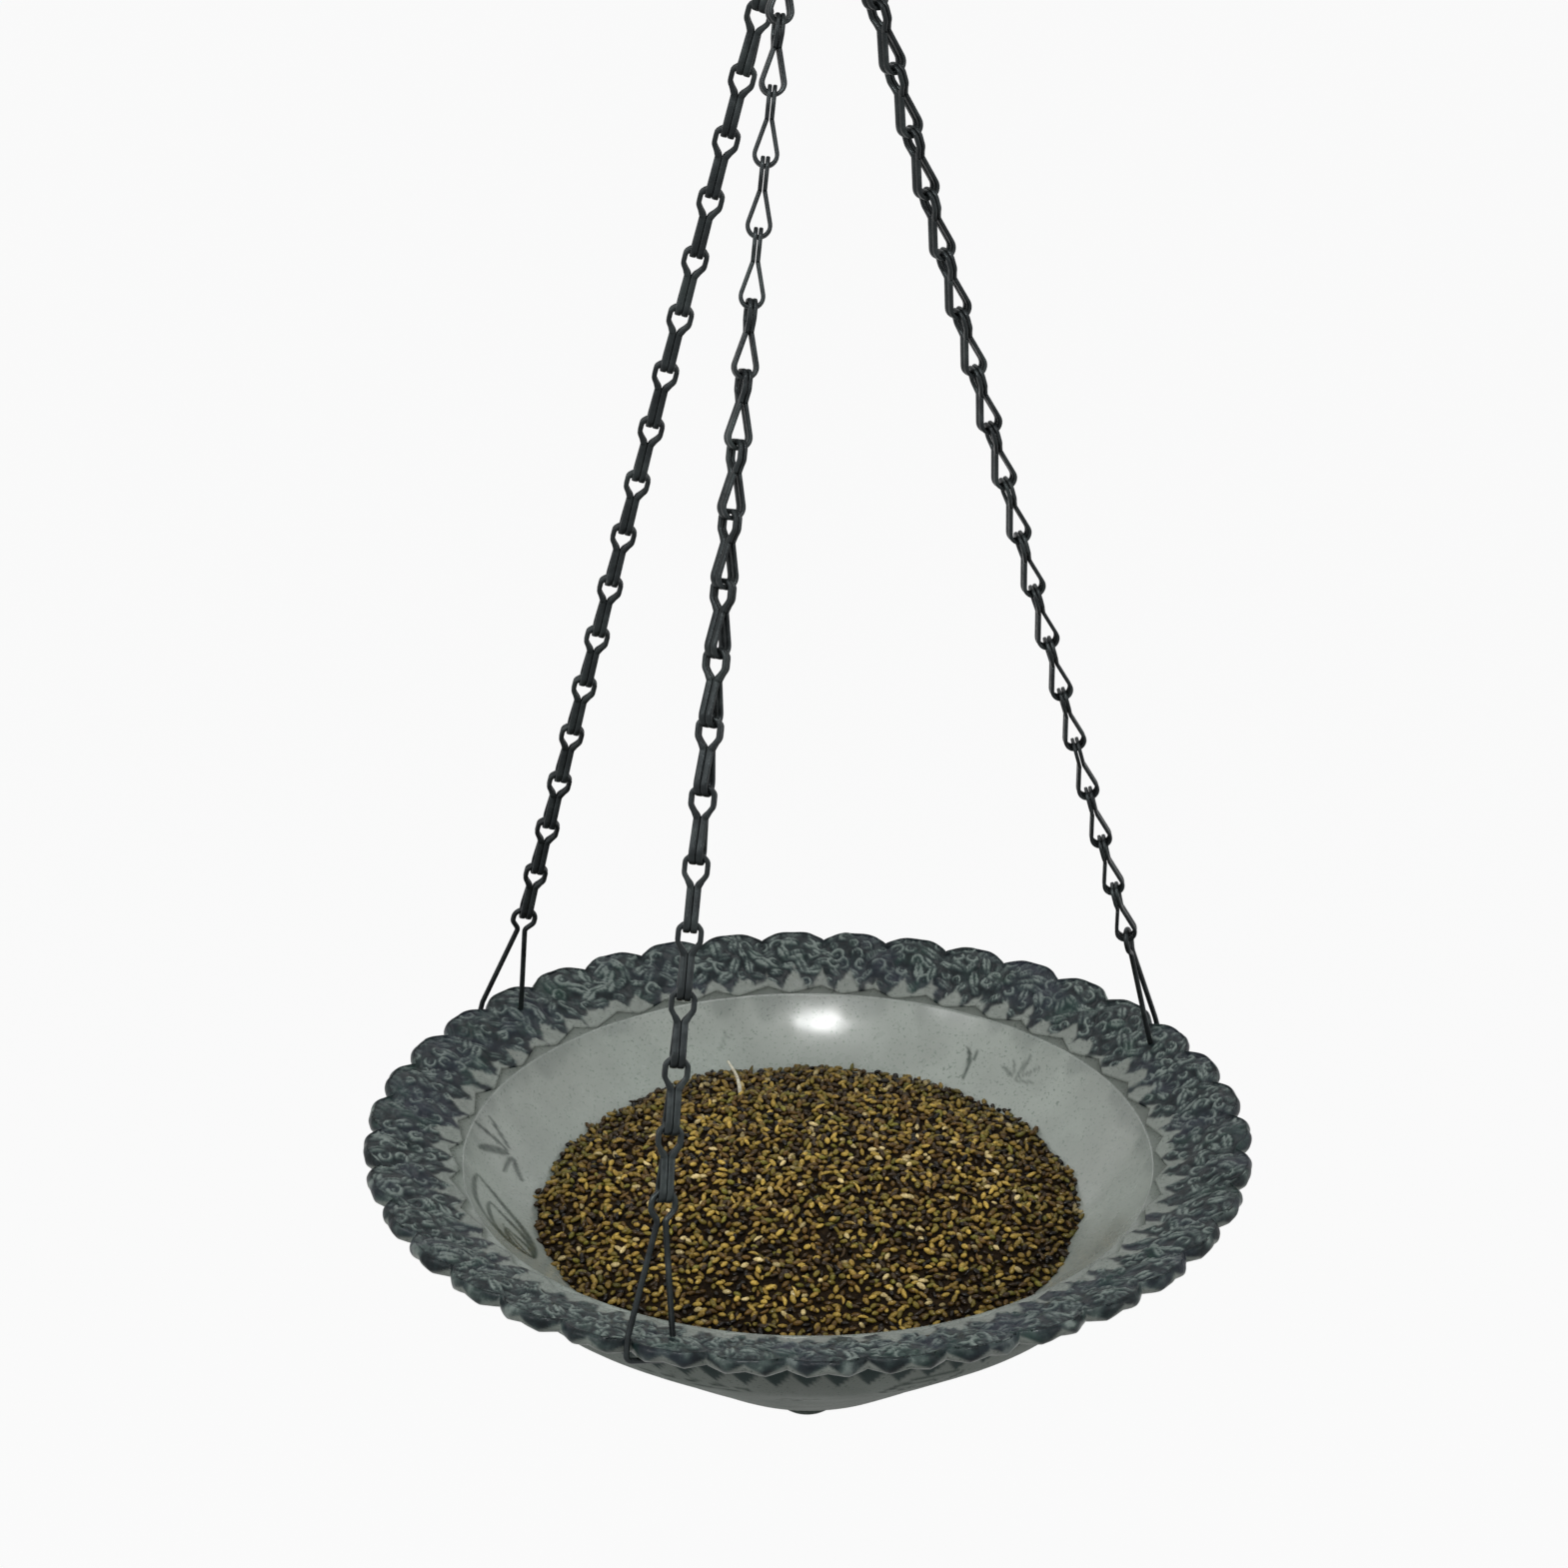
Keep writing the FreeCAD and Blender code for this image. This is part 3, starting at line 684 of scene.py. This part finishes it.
def curl_form(d, way):
    """Open ring round a pip, with d from its middle in shares of its radius."""
    ring = 0.60 + 0.12 * np.sin(way / 2)
    form = np.exp(-((d - ring) / 0.19) ** 2) * (0.15 + 0.85 * smoothstep(-0.95, -0.3, np.cos(way)))
    return np.maximum(form, 0.7 * np.exp(-(d / 0.20) ** 2))


def leaf_form(d, way):
    """Pointed leaf with a rib and slanting veins sunk in it, measured the same way."""
    along, across = d * np.cos(way), d * np.sin(way)
    leaf = 1 - (along / 1.2) ** 2 - (across / 0.62) ** 2
    vein = np.exp(-(across / 0.13) ** 2) + 0.6 * np.exp(-(np.sin(7 * along + 5 * abs(across)) / 0.35) ** 2)
    return np.sqrt(np.maximum(leaf, 0)) * (1 - 0.75 * np.minimum(vein, 1))


def relief(azimuth, depth, radius, lumps):
    """Height of the relief and its tone from 0 in the hollows to 1 on the crests."""
    width = 2 * math.pi / LOBES * radius
    k, place = lobe_place(azimuth)
    fine = np.zeros(len(azimuth))
    for lobe, middle, row, size, tall, turn, curled in lumps:
        dx = ((k - lobe + LOBES / 2) % LOBES - LOBES / 2 + place - middle) * width
        dy = depth - row
        near = np.flatnonzero(dx * dx + dy * dy < 1.6 * size * size)
        if not len(near):
            continue
        d = np.hypot(dx[near], dy[near]) / size
        way = np.arctan2(dy[near], dx[near]) - turn
        form = curl_form(d, way) if curled else leaf_form(d, way)
        fine[near] = np.maximum(fine[near], tall * form)
    notch = np.exp(-(np.minimum(place, 1 - place) * width / 1.2) ** 2) * (1 - smoothstep(3, 11, depth))
    tone = np.clip(fine / LUMP_CREST, 0, 1) * (1 - 0.9 * notch)
    return boss_height(place, depth, width) + fine - LUMP_CREST / 2 - NOTCH_SINK * notch, tone


def build_band(material):
    """Sloping band: relief above, lobes with dark leaf tips at the edge, a toothed step inside."""
    columns, azimuth, around = round_the_bowl(BAND_COLUMNS)
    outer, inner = outer_radius(azimuth), inner_radius(azimuth)
    place = lobe_place(azimuth)[1]
    zero = np.zeros(columns)
    lumps = lump_list()
    rows, tones, bares = [], [], []

    def ring(r, z, tone, bare=zero):
        rows.append(np.column_stack([around * r[:, None], z + RIM_Z]))
        tones.append(tone)
        bares.append(bare)

    tips = np.abs((place * 2) % 1.0 - 0.5) * 2

    def bare_inside(depth, flat):
        uneven = 8.0 * (noise(flat, 7.0, 12) - 0.5) + 3.5 * (noise(flat, 2.5, 13) - 0.5)
        return 0.95 * smoothstep(-1.3, 1.3, depth - DARK_WIDTH - DARK_POINT * (1 - tips) - uneven)

    flat = np.column_stack([around * inner[:, None], zero])
    ring(inner + 5, band_z(inner + 5) - BAND_T * 0.8, zero)
    ring(inner - 0.1, band_z(inner) - BAND_STEP - 0.3, zero, bare_inside(RIM_R - inner, flat))
    edge = outer - EDGE_ROUND / 2
    for s in np.linspace(1, 0, BAND_ROWS):
        r = edge + (inner - edge) * s
        height, tone = relief(azimuth, RIM_R - r, r, lumps)
        flat = np.column_stack([around * r[:, None], zero])
        rough = (noise(flat, 2.0, 3) - 0.5) * 0.35
        # the relief grows from low edges
        full = min(1.0, 0.25 + 12 * s, 0.3 + 14 * (1 - s))
        bare = bare_inside(RIM_R - r, flat)
        ring(r, band_z(r) + (height + rough) * full, 0.62 * tone * (0.3 + 0.7 * full), bare)
    for a in np.radians(np.linspace(90, -90, EDGE_ROWS)[1:]):
        r = outer - EDGE_ROUND + EDGE_ROUND * math.cos(a)
        level = (1 - math.sin(a)) / 2
        droop = 1.4 * (1 - tips) * level
        z = band_z(outer) - BAND_T * level - droop
        flat = np.column_stack([around * r[:, None], z])
        rough = (noise(flat, 3.0, 5) - 0.5) * 0.8 * math.cos(a)
        bare = smoothstep(-0.12, 0.12, level - 0.30 - 0.55 * (1 - tips) + 0.2 * (noise(flat, 4.0, 8) - 0.5))
        ring(r + rough, z, np.clip(noise(flat, 4.0, 9) - 0.35, 0, 1), bare * 0.9)
    for s in np.linspace(0, 1, UNDER_ROWS)[1:]:
        r = (outer - EDGE_ROUND) * (1 - s) + (RIM_R - BAND_W - 2) * s
        ring(r, band_z(r) - BAND_T, zero, zero + 0.9)
    values = {"relief": np.concatenate(tones), "bare": np.concatenate(bares)}
    return make_mesh("relief_band", np.concatenate(rows), grid_faces(len(rows), columns, True), material,
                     values)


def leaf_strokes():
    """Brush strokes as (points across and down, width): a leaf with nested outlines and a rib."""
    strokes = []
    for size, width in ((1.0, 2.0), (0.70, 1.7), (0.40, 1.4)):
        for side in (-1, 1):
            a = np.linspace(0, 1, 14)
            x = side * 9.0 * size * np.sin(a * math.pi) ** 0.8 * (1 - 0.25 * a)
            strokes.append((np.stack([x, 15 - 30 * size * a], 1), width))
    strokes.append((np.array([[0, 15], [0.6, 9], [0.2, 2]]), 0.9))
    return strokes


def sprig_strokes():
    """A few tapered strokes that spring from one point, one of them heavy."""
    strokes = []
    for angle, length, width in ((-58, 13, 1.3), (-26, 16, 1.3), (6, 15, 2.6), (48, 11, 1.2), (86, 10, 2.0)):
        a = math.radians(angle)
        t = np.linspace(0.12, 1, 8)
        bend = 0.16 * length * t * t
        x = length * t * math.sin(a) + bend * math.cos(a)
        y = length * t * math.cos(a) - bend * math.sin(a)
        strokes.append((np.stack([x, -y], 1), width))
    return strokes


def curl_strokes():
    """One curved stroke with a short one beside it."""
    t = np.linspace(0, 1, 12)
    curve = np.stack([3.0 * np.sin(t * 2.6), -8 + 16 * t], 1)
    short = np.stack([5 + 2 * t, 1 + 5 * t], 1)
    return [(curve, 1.9), (short, 1.0)]


def dash_strokes():
    """Short dashes in a trailing row, over a long thin stroke."""
    s = np.linspace(0, 1, 8)
    strokes = [(np.stack([-22 + 44 * s, 4 + 2 * np.sin(s * 6)], 1), 1.1)]
    for i in range(5):
        strokes.append((np.stack([-21 + i * 9.5 + 6 * s, -1.5 + 1.6 * np.sin(s * 3 + i)], 1), 2.6))
    return strokes


def inside_motifs():
    """Strokes, heading, distance down the wall, turn, size and strength of each motif inside."""
    return (
        (leaf_strokes(), 194, 18, -64, 1.45, 1.0), (sprig_strokes(), 169, 20, 30, 1.25, 1.0),
        (curl_strokes(), 57, 19, 198, 0.85, 1.0), (sprig_strokes(), 45, 18, -28, 0.75, 0.60),
        (leaf_strokes(), 318, 17, 60, 1.2, 0.9), (curl_strokes(), 236, 18, -20, 1.0, 0.85),
        (sprig_strokes(), 276, 20, 8, 1.0, 0.85), (curl_strokes(), 108, 16, 160, 0.6, 0.35),
    )


def outside_motifs():
    """The same outside: dashes, a heavy leaf and a sprig, three times round."""
    out = []
    for k in range(3):
        out.append((dash_strokes(), 251 + 120 * k, 27, 4, 0.85, 1.0))
        out.append((leaf_strokes(), 289 + 120 * k, 29, 68, 0.95, 1.0))
        out.append((sprig_strokes(), 270 + 120 * k, 52, -60, 0.9, 0.80))
        out.append((curl_strokes(), 316 + 120 * k, 40, 60, 1.1, 0.80))
    return out


def ink_on(azimuth, down, motifs):
    """Ink from 0 to 1 at places on the wall."""
    ink = np.zeros(len(azimuth))
    for strokes, at_azimuth, at_down, turn, size, strength in motifs:
        c, s = math.cos(math.radians(turn)), math.sin(math.radians(turn))
        du = np.radians((azimuth - at_azimuth + 180) % 360 - 180) * MOTIF_R
        dv = down - at_down
        near = np.flatnonzero((np.abs(du) < MOTIF_REACH) & (np.abs(dv) < MOTIF_REACH))
        x = (c * du[near] + s * dv[near]) / size
        y = (-s * du[near] + c * dv[near]) / size
        best = np.zeros(len(near))
        for points, width in strokes:
            along = path_length(points)
            for a, b, start, end in zip(points, points[1:], along, along[1:]):
                ab = b - a
                t = np.clip(((x - a[0]) * ab[0] + (y - a[1]) * ab[1]) / (ab @ ab), 0, 1)
                d = np.hypot(x - a[0] - t * ab[0], y - a[1] - t * ab[1])
                taper = np.sin((start + t * (end - start)) / along[-1] * math.pi) ** 0.55
                half = width / 2 * np.clip(taper + 0.12, 0, 1)
                best = np.maximum(best, 1 - smoothstep(0, 0.75, (d - half * 0.6) / (half + 0.3)))
        ink[near] = np.maximum(ink[near], best * strength)
    return ink


def knob_profile(low):
    """Outline of the knob, from its neck at the bowl's lowest point down to its round end."""
    brim = low - KNOB_H + KNOB_CAP + KNOB_BRIM
    neck = np.array([
        (KNOB_NECK_R + 1.2, low + 0.3), (KNOB_NECK_R + 0.2, low - 0.4), (KNOB_NECK_R, low - 1.2),
        (KNOB_NECK_R, brim + 1.0), (KNOB_NECK_R + 0.5, brim + 0.2), (KNOB_NECK_R + 1.2, brim),
        (KNOB_R - 0.5, brim - 0.15), (KNOB_R, brim - 0.7)])
    ball = (KNOB_R ** 2 + KNOB_CAP ** 2) / (2 * KNOB_CAP)
    end = math.asin(KNOB_R / ball) - math.pi / 2
    return np.concatenate([neck, arc_points((0, low - KNOB_H + ball), ball, end, -math.pi / 2, 10)])


def wall_profile():
    """Outline of inside, lip, outside and knob, and the rows at which the last three start."""
    inside = polyline(meridian(WALL, FLOOR)[::-1], INSIDE_STEP)
    covered = inside[:, 1] < -SEED_DEPTH - COVERED_DEPTH
    inside = np.concatenate([polyline(inside[covered], COVERED_STEP), inside[~covered]])
    lip_r = np.array([inside[-1][0], RIM_R - BAND_W + BAND_STEP])
    lip = np.column_stack([lip_r, band_z(lip_r) - BAND_STEP])
    outside = polyline(meridian(0, 0), OUTSIDE_STEP)
    low = outside[-1][1]
    outside = outside[outside[:, 0] > KNOB_NECK_R + 1.5]
    stages = inside, lip, outside, knob_profile(low)
    profile = np.concatenate(stages)
    profile[[0, -1], 0] = NEAR_AXIS
    return profile, np.cumsum([len(stage) for stage in stages[:3]])


def wall_paint(points, azimuth, row, along, starts):
    """Brushed ink, and pools of dark glaze with painted shade towards the knob, from 0 to 1 at each point of
    the wall.
    """
    lip, outside, knob = starts
    down = np.where(row < lip, along[lip - 1] - along[row], along[row] - along[outside])
    ink = np.where(row < lip, ink_on(azimuth, down, inside_motifs()), ink_on(azimuth, down, outside_motifs()))
    ink[row >= knob] = DEEP_INK
    place = lobe_place(azimuth)[1]
    tips = BORDER_DEPTH + BORDER_POINT * (1 - np.abs((place * 2) % 1.0 - 0.5) * 2)
    drip = 1 - smoothstep(-1.0, 1.0, down - tips)
    runs = 9.0 * noise(points * (1, 1, 0), 8.0, 31) + 5.0 * noise(points * (1, 1, 0), 3.5, 32) - 4.0
    edge = (1 - smoothstep(-3.0, 5.0, down - runs)) * EDGE_POOL
    low = meridian(0, 0)[-1][1]
    # painted shade: the outside darkens towards the knob, where the bowl turns under
    foot = smoothstep(low + 11, low + 4, points[:, 2]) * 0.7
    pool_and_shade = np.where(row < outside, edge, np.maximum(drip, foot))
    pool_and_shade[(row >= lip) & (row < outside)] = LIP_POOL
    pool_and_shade[row >= knob] = KNOB_POOL
    return ink, pool_and_shade


def build_wall(inner, outer):
    """Inside, outside and knob of the bowl in one closed surface of revolution."""
    profile, starts = wall_profile()
    columns, azimuth, around = round_the_bowl(WALL_COLUMNS)
    points = np.concatenate([np.column_stack([around * r, np.full(columns, z)]) for r, z in profile])
    row = np.repeat(np.arange(len(profile)), columns)
    ink, pool_and_shade = wall_paint(points, np.tile(azimuth, len(profile)), row, path_length(profile), starts)
    lip, _, knob = starts
    ripple = (noise(points, 16.0, 21) - 0.5) * 0.9 + (noise(points, 6.0, 22) - 0.5) * 0.25
    points[:, :2] += units(points[:, :2]) * (ripple * np.where(row >= knob, 0, 0.5))[:, None]
    points[:, 2] += RIM_Z
    faces = grid_faces(len(profile), columns)
    piece = make_mesh("glazed_wall", points, faces, inner, {"ink": ink, "pool_and_shade": pool_and_shade})
    piece.data.materials.append(outer)
    piece.data.polygons.foreach_set("material_index", (row[faces[:, 0]] > lip).astype(int))
    return piece


# Grain

def seed_edge():
    """Radius at which the heap meets the inside of the bowl at its sides."""
    normal = flank()[1]
    shoulder = SHOULDER + normal * (FLOOR + SEED_PLAY)
    return shoulder[0] + (-SEED_DEPTH - shoulder[1]) * normal[1] / -normal[0]


def heap_z(x, y):
    """Height of the heap from the rim: a low crown, banked up at the back, with shallow mounds."""
    edge = seed_edge()
    ball = (edge ** 2 + SEED_CROWN ** 2) / (2 * SEED_CROWN)
    z = SEED_CROWN - SEED_DEPTH - ball + np.sqrt(ball ** 2 - x ** 2 - y ** 2) + SEED_LEAN * y / edge
    for degrees, length in MOUNDS:
        out = heading(degrees)
        z = z + MOUND_RISE * np.cos(2 * math.pi * (x * out[0] + y * out[1]) / length)
    return z


def heap_edge(azimuth):
    """Radius at which the heap meets the wall at each azimuth in radians."""
    wall = meridian(WALL + SEED_PLAY, FLOOR + SEED_PLAY)[::-1]
    r = np.full(len(azimuth), seed_edge())
    for _ in range(6):
        r = np.interp(heap_z(r * np.cos(azimuth), r * np.sin(azimuth)), wall[:, 1], wall[:, 0])
    return r


def grain_shape():
    """A grain: a six-sided spindle with one blunt end."""
    rings = ((-0.72, 0.62), (-0.15, 1.0), (0.5, 0.78))
    angles = np.arange(6) * math.pi / 3
    points = [(-1.0, 0, 0)]
    points += [(x, r * math.cos(a), r * math.sin(a)) for x, r in rings for a in angles]
    points.append((1.0, 0, 0))
    faces = []
    for i in range(6):
        j = (i + 1) % 6
        faces += [(0, 1 + j, 1 + i), (13 + i, 13 + j, 19)]
        for base in (1, 7):
            faces += [(base + i, base + j, base + 6 + j), (base + i, base + 6 + j, base + 6 + i)]
    return np.array(points), np.array(faces)


def scattered(rng, spacing, edge):
    """Places over the heap in a jittered six-cornered pattern, and each one's share of the way out."""
    count = int(edge / spacing * 1.2)
    i, j = np.meshgrid(np.arange(-count, count + 1), np.arange(-count, count + 1))
    x = (i + 0.5 * (j % 2)).ravel() * spacing
    y = j.ravel() * spacing * math.sqrt(3) / 2
    spots = np.column_stack([x, y]) + rng.uniform(-0.38, 0.38, (x.size, 2)) * spacing
    limit = heap_edge(np.arctan2(spots[:, 1], spots[:, 0]))
    out = np.hypot(spots[:, 0], spots[:, 1])
    inside = out < limit - 0.5
    return spots[inside], (out / limit)[inside]


def grain_tints(rng, lift, share_out, y):
    """Colour of each grain, with painted shade on grains that lie low, near the heap's edge and at the back.
    """
    palette = np.array([colour for colour, _ in GRAIN_COLOURS])
    share = [part for _, part in GRAIN_COLOURS]
    tint = palette[rng.choice(len(palette), len(lift), p=share)] * rng.uniform(0.75, 1.3, (len(lift), 1))
    # painted shade: low grains, the heap's edge and its back are darkened
    sunk_shade = 0.55 + 0.45 * smoothstep(GRAIN_LIFT[0], 0.0, lift)
    edge_and_back_shade = 1 - 0.40 * smoothstep(0.70, 1.0, share_out) - 0.20 * smoothstep(0, 80, y)
    return tint * (sunk_shade * edge_and_back_shade)[:, None]


def build_grain(material):
    """Single grains over the whole top of the heap, lying at all angles."""
    rng = np.random.default_rng(SEED + 1)
    spots, share_out = scattered(rng, GRAIN_SPACING, seed_edge() + 8)
    count = len(spots)
    shape, faces = grain_shape()
    length = rng.uniform(*GRAIN_HALF_LENGTH, count)
    girth = rng.uniform(*GRAIN_HALF_WIDTH, count)
    husk = rng.random(count) < HUSKS
    girth[husk] *= 0.7
    length[husk] *= 1.1
    turn = rng.uniform(0, 2 * math.pi, count)
    tilt = rng.normal(0, GRAIN_TILT, count)
    ax = np.stack([np.cos(turn) * np.cos(tilt), np.sin(turn) * np.cos(tilt), np.sin(tilt)], 1)
    ay = np.stack([-np.sin(turn), np.cos(turn), np.zeros(count)], 1)
    az = np.cross(ax, ay)
    local = shape[None] * np.stack([length, girth, girth * GRAIN_FLATNESS], 1)[:, None]
    local[:, :, 1] += np.where(husk, 0.30, 0.06)[:, None] * (local[:, :, 0] ** 2 / length[:, None])
    lift = rng.uniform(*GRAIN_LIFT, count)
    lift[husk] = 0.2
    centre = np.column_stack([spots, heap_z(spots[:, 0], spots[:, 1]) + lift + RIM_Z])
    points = centre[:, None] + local[..., :1] * ax[:, None] + local[..., 1:2] * ay[:, None]
    points = points + local[..., 2:] * az[:, None]

    tint = grain_tints(rng, lift, share_out, spots[:, 1])
    for part in range(2):
        chosen = np.arange(count) % 2 == part
        n = int(chosen.sum())
        joined = (faces[None] + (np.arange(n) * len(shape))[:, None, None]).reshape(-1, 3)
        tints = np.repeat(tint[chosen], len(shape), 0)
        piece = make_mesh("grain_%d" % (part + 1), points[chosen].reshape(-1, 3), joined, material,
                          {"tint": tints})
        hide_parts("seed_fill")


def build_bed(material):
    """Closed dark bed just under the grains."""
    a = np.arange(BED_COLUMNS) * 2 * math.pi / BED_COLUMNS
    edge = heap_edge(a)
    rows = []
    for share in np.linspace(0.001, 1, BED_ROWS):
        x, y = edge * share * np.cos(a), edge * share * np.sin(a)
        rows.append(np.column_stack([x, y, heap_z(x, y) - BED_SINK + RIM_Z]))
    for share, z in BED_UNDERSIDE:
        x, y = edge * share * np.cos(a), edge * share * np.sin(a)
        rows.append(np.column_stack([x, y, np.full(BED_COLUMNS, z + RIM_Z)]))
    faces = grid_faces(len(rows), BED_COLUMNS)
    piece = make_mesh("grain_bed", np.concatenate(rows), faces, material)
    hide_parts("seed_fill")


def build_straw(material):
    """One pale bent straw that sticks up out of the heap."""
    base = np.array([*STRAW_FOOT, heap_z(*STRAW_FOOT) - 0.5 + RIM_Z])
    t = np.linspace(0, 1, 14)[:, None]
    path = base + t * np.array(STRAW_REACH) + np.sin(t * math.pi) * np.array([STRAW_BOW, 0, 0])
    width = STRAW_W * (1 - 0.5 * t[:, 0])
    points, faces = tube(path, np.array([0, -1.0, 0]), width, width * 0.7, 8, 1.0, False)
    tint = np.tile(STRAW_TINT, (len(points), 1))
    piece = make_mesh("straw", points, faces, material, {"tint": tint})
    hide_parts("seed_fill")


# Stage

def background_factor(nodes, links, share):
    """Share of plain white in what camera, glossy and transmission rays see."""
    ray = nodes.new("ShaderNodeLightPath")
    total = ray.outputs["Is Camera Ray"]
    for name in ("Is Glossy Ray", "Is Transmission Ray"):
        joined = nodes.new("ShaderNodeMath")
        joined.operation = "MAXIMUM"
        links.new(total, joined.inputs[0])
        links.new(ray.outputs[name], joined.inputs[1])
        total = joined.outputs[0]
    scaled = nodes.new("ShaderNodeMath")
    scaled.operation = "MULTIPLY"
    scaled.inputs[1].default_value = share
    links.new(total, scaled.inputs[0])
    return scaled.outputs[0]


def build_floor():
    """Pale floor far below, which still takes a faint shadow."""
    material, nodes, links, shader = new_material("floor")
    shader.inputs["Base Color"].default_value = (0.50, 0.50, 0.50, 1)
    shader.inputs["Roughness"].default_value = 0.9
    glow = nodes.new("ShaderNodeEmission")
    glow.inputs["Color"].default_value = (1, 1, 1, 1)
    mixed = nodes.new("ShaderNodeMixShader")
    links.new(background_factor(nodes, links, FLOOR_GLOW), mixed.inputs[0])
    links.new(shader.outputs[0], mixed.inputs[1])
    links.new(glow.outputs[0], mixed.inputs[2])
    links.new(mixed.outputs[0], nodes["Material Output"].inputs["Surface"])
    bpy.ops.mesh.primitive_plane_add(size=FLOOR_SIZE, location=(0, 0, FLOOR_Z))
    floor = bpy.context.object
    floor.name = "floor"
    floor.data.materials.append(material)


def build_world():
    """Even pale studio light, and a plain pale background that the floor runs into unseen."""
    world = bpy.data.worlds.new("studio")
    bpy.context.scene.world = world
    world.use_nodes = True
    nodes, links = world.node_tree.nodes, world.node_tree.links
    sky = nodes["Background"]
    sky.inputs["Color"].default_value = (0.97, 0.985, 1.0, 1)
    sky.inputs["Strength"].default_value = SKY_LEVEL
    white = nodes.new("ShaderNodeBackground")
    white.inputs["Color"].default_value = (1, 1, 1, 1)
    white.inputs["Strength"].default_value = BACKGROUND_WHITE
    mixed = nodes.new("ShaderNodeMixShader")
    links.new(background_factor(nodes, links, 1.0), mixed.inputs[0])
    links.new(sky.outputs[0], mixed.inputs[1])
    links.new(white.outputs[0], mixed.inputs[2])
    links.new(mixed.outputs[0], nodes["World Output"].inputs["Surface"])


def build_lamps():
    """Soft lamps: a small one above for the glint on the wall, one each side and one behind."""
    for name, place, size, power in LAMPS:
        data = bpy.data.lights.new(name, "AREA")
        data.shape = "ELLIPSE"
        data.size, data.size_y = size
        data.energy = power
        lamp = bpy.data.objects.new(name, data)
        bpy.context.scene.collection.objects.link(lamp)
        lamp.location = place
        aim = Vector((0, 0, RIM_Z * MM)) - Vector(place)
        lamp.rotation_euler = aim.to_track_quat("-Z", "Y").to_euler()


def build_camera():
    """Camera at the photograph's viewing angle."""
    data = bpy.data.cameras.new("camera")
    data.sensor_width = SENSOR_MM
    data.lens = FOCAL_PX / PHOTO_PX * data.sensor_width
    data.shift_x = (PHOTO_PX / 2 - AXIS_PX) / PHOTO_PX
    camera = bpy.data.objects.new("camera", data)
    bpy.context.scene.collection.objects.link(camera)
    camera.location = (0, -CAMERA_BACK, RIM_Z * MM + CAMERA_ABOVE_RIM)
    turn = Matrix.Rotation(math.pi / 2 - CAMERA_TILT, 3, "X") @ Matrix.Rotation(CAMERA_ROLL, 3, "Z")
    camera.rotation_euler = turn.to_euler()
    bpy.context.scene.camera = camera


def dress_wires(material):
    """The hook, the ring and the rim hangers keep their modelled form."""
    for name in ["hook", "top_ring"] + ["rim_hanger_" + chain[0] for chain in CHAINS]:
        NODES[name].data.materials.clear()
        NODES[name].data.materials.append(material)


iron = iron_material()
dress_wires(iron)
build_chains(iron)
# the inside glaze is brightened as painted light, and the outside glaze is darkened as painted shade
inner_glaze = glaze_material("pale_glaze", INSIDE_PAINTED_LIGHT, roughness=0.22, specular=0.35, coat=0.35)
outer_glaze = glaze_material("dull_glaze_painted_shade", OUTSIDE_PAINTED_SHADE, roughness=0.55, specular=0.06, coat=0.0)
for piece in (build_band(band_material()), build_wall(inner_glaze, outer_glaze)):
    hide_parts("bowl")
grain = grain_material()
build_grain(grain)
build_straw(grain)
build_bed(bed_material())
build_floor()
build_world()
build_lamps()
build_camera()
bpy.context.scene.view_settings.view_transform = "Standard"
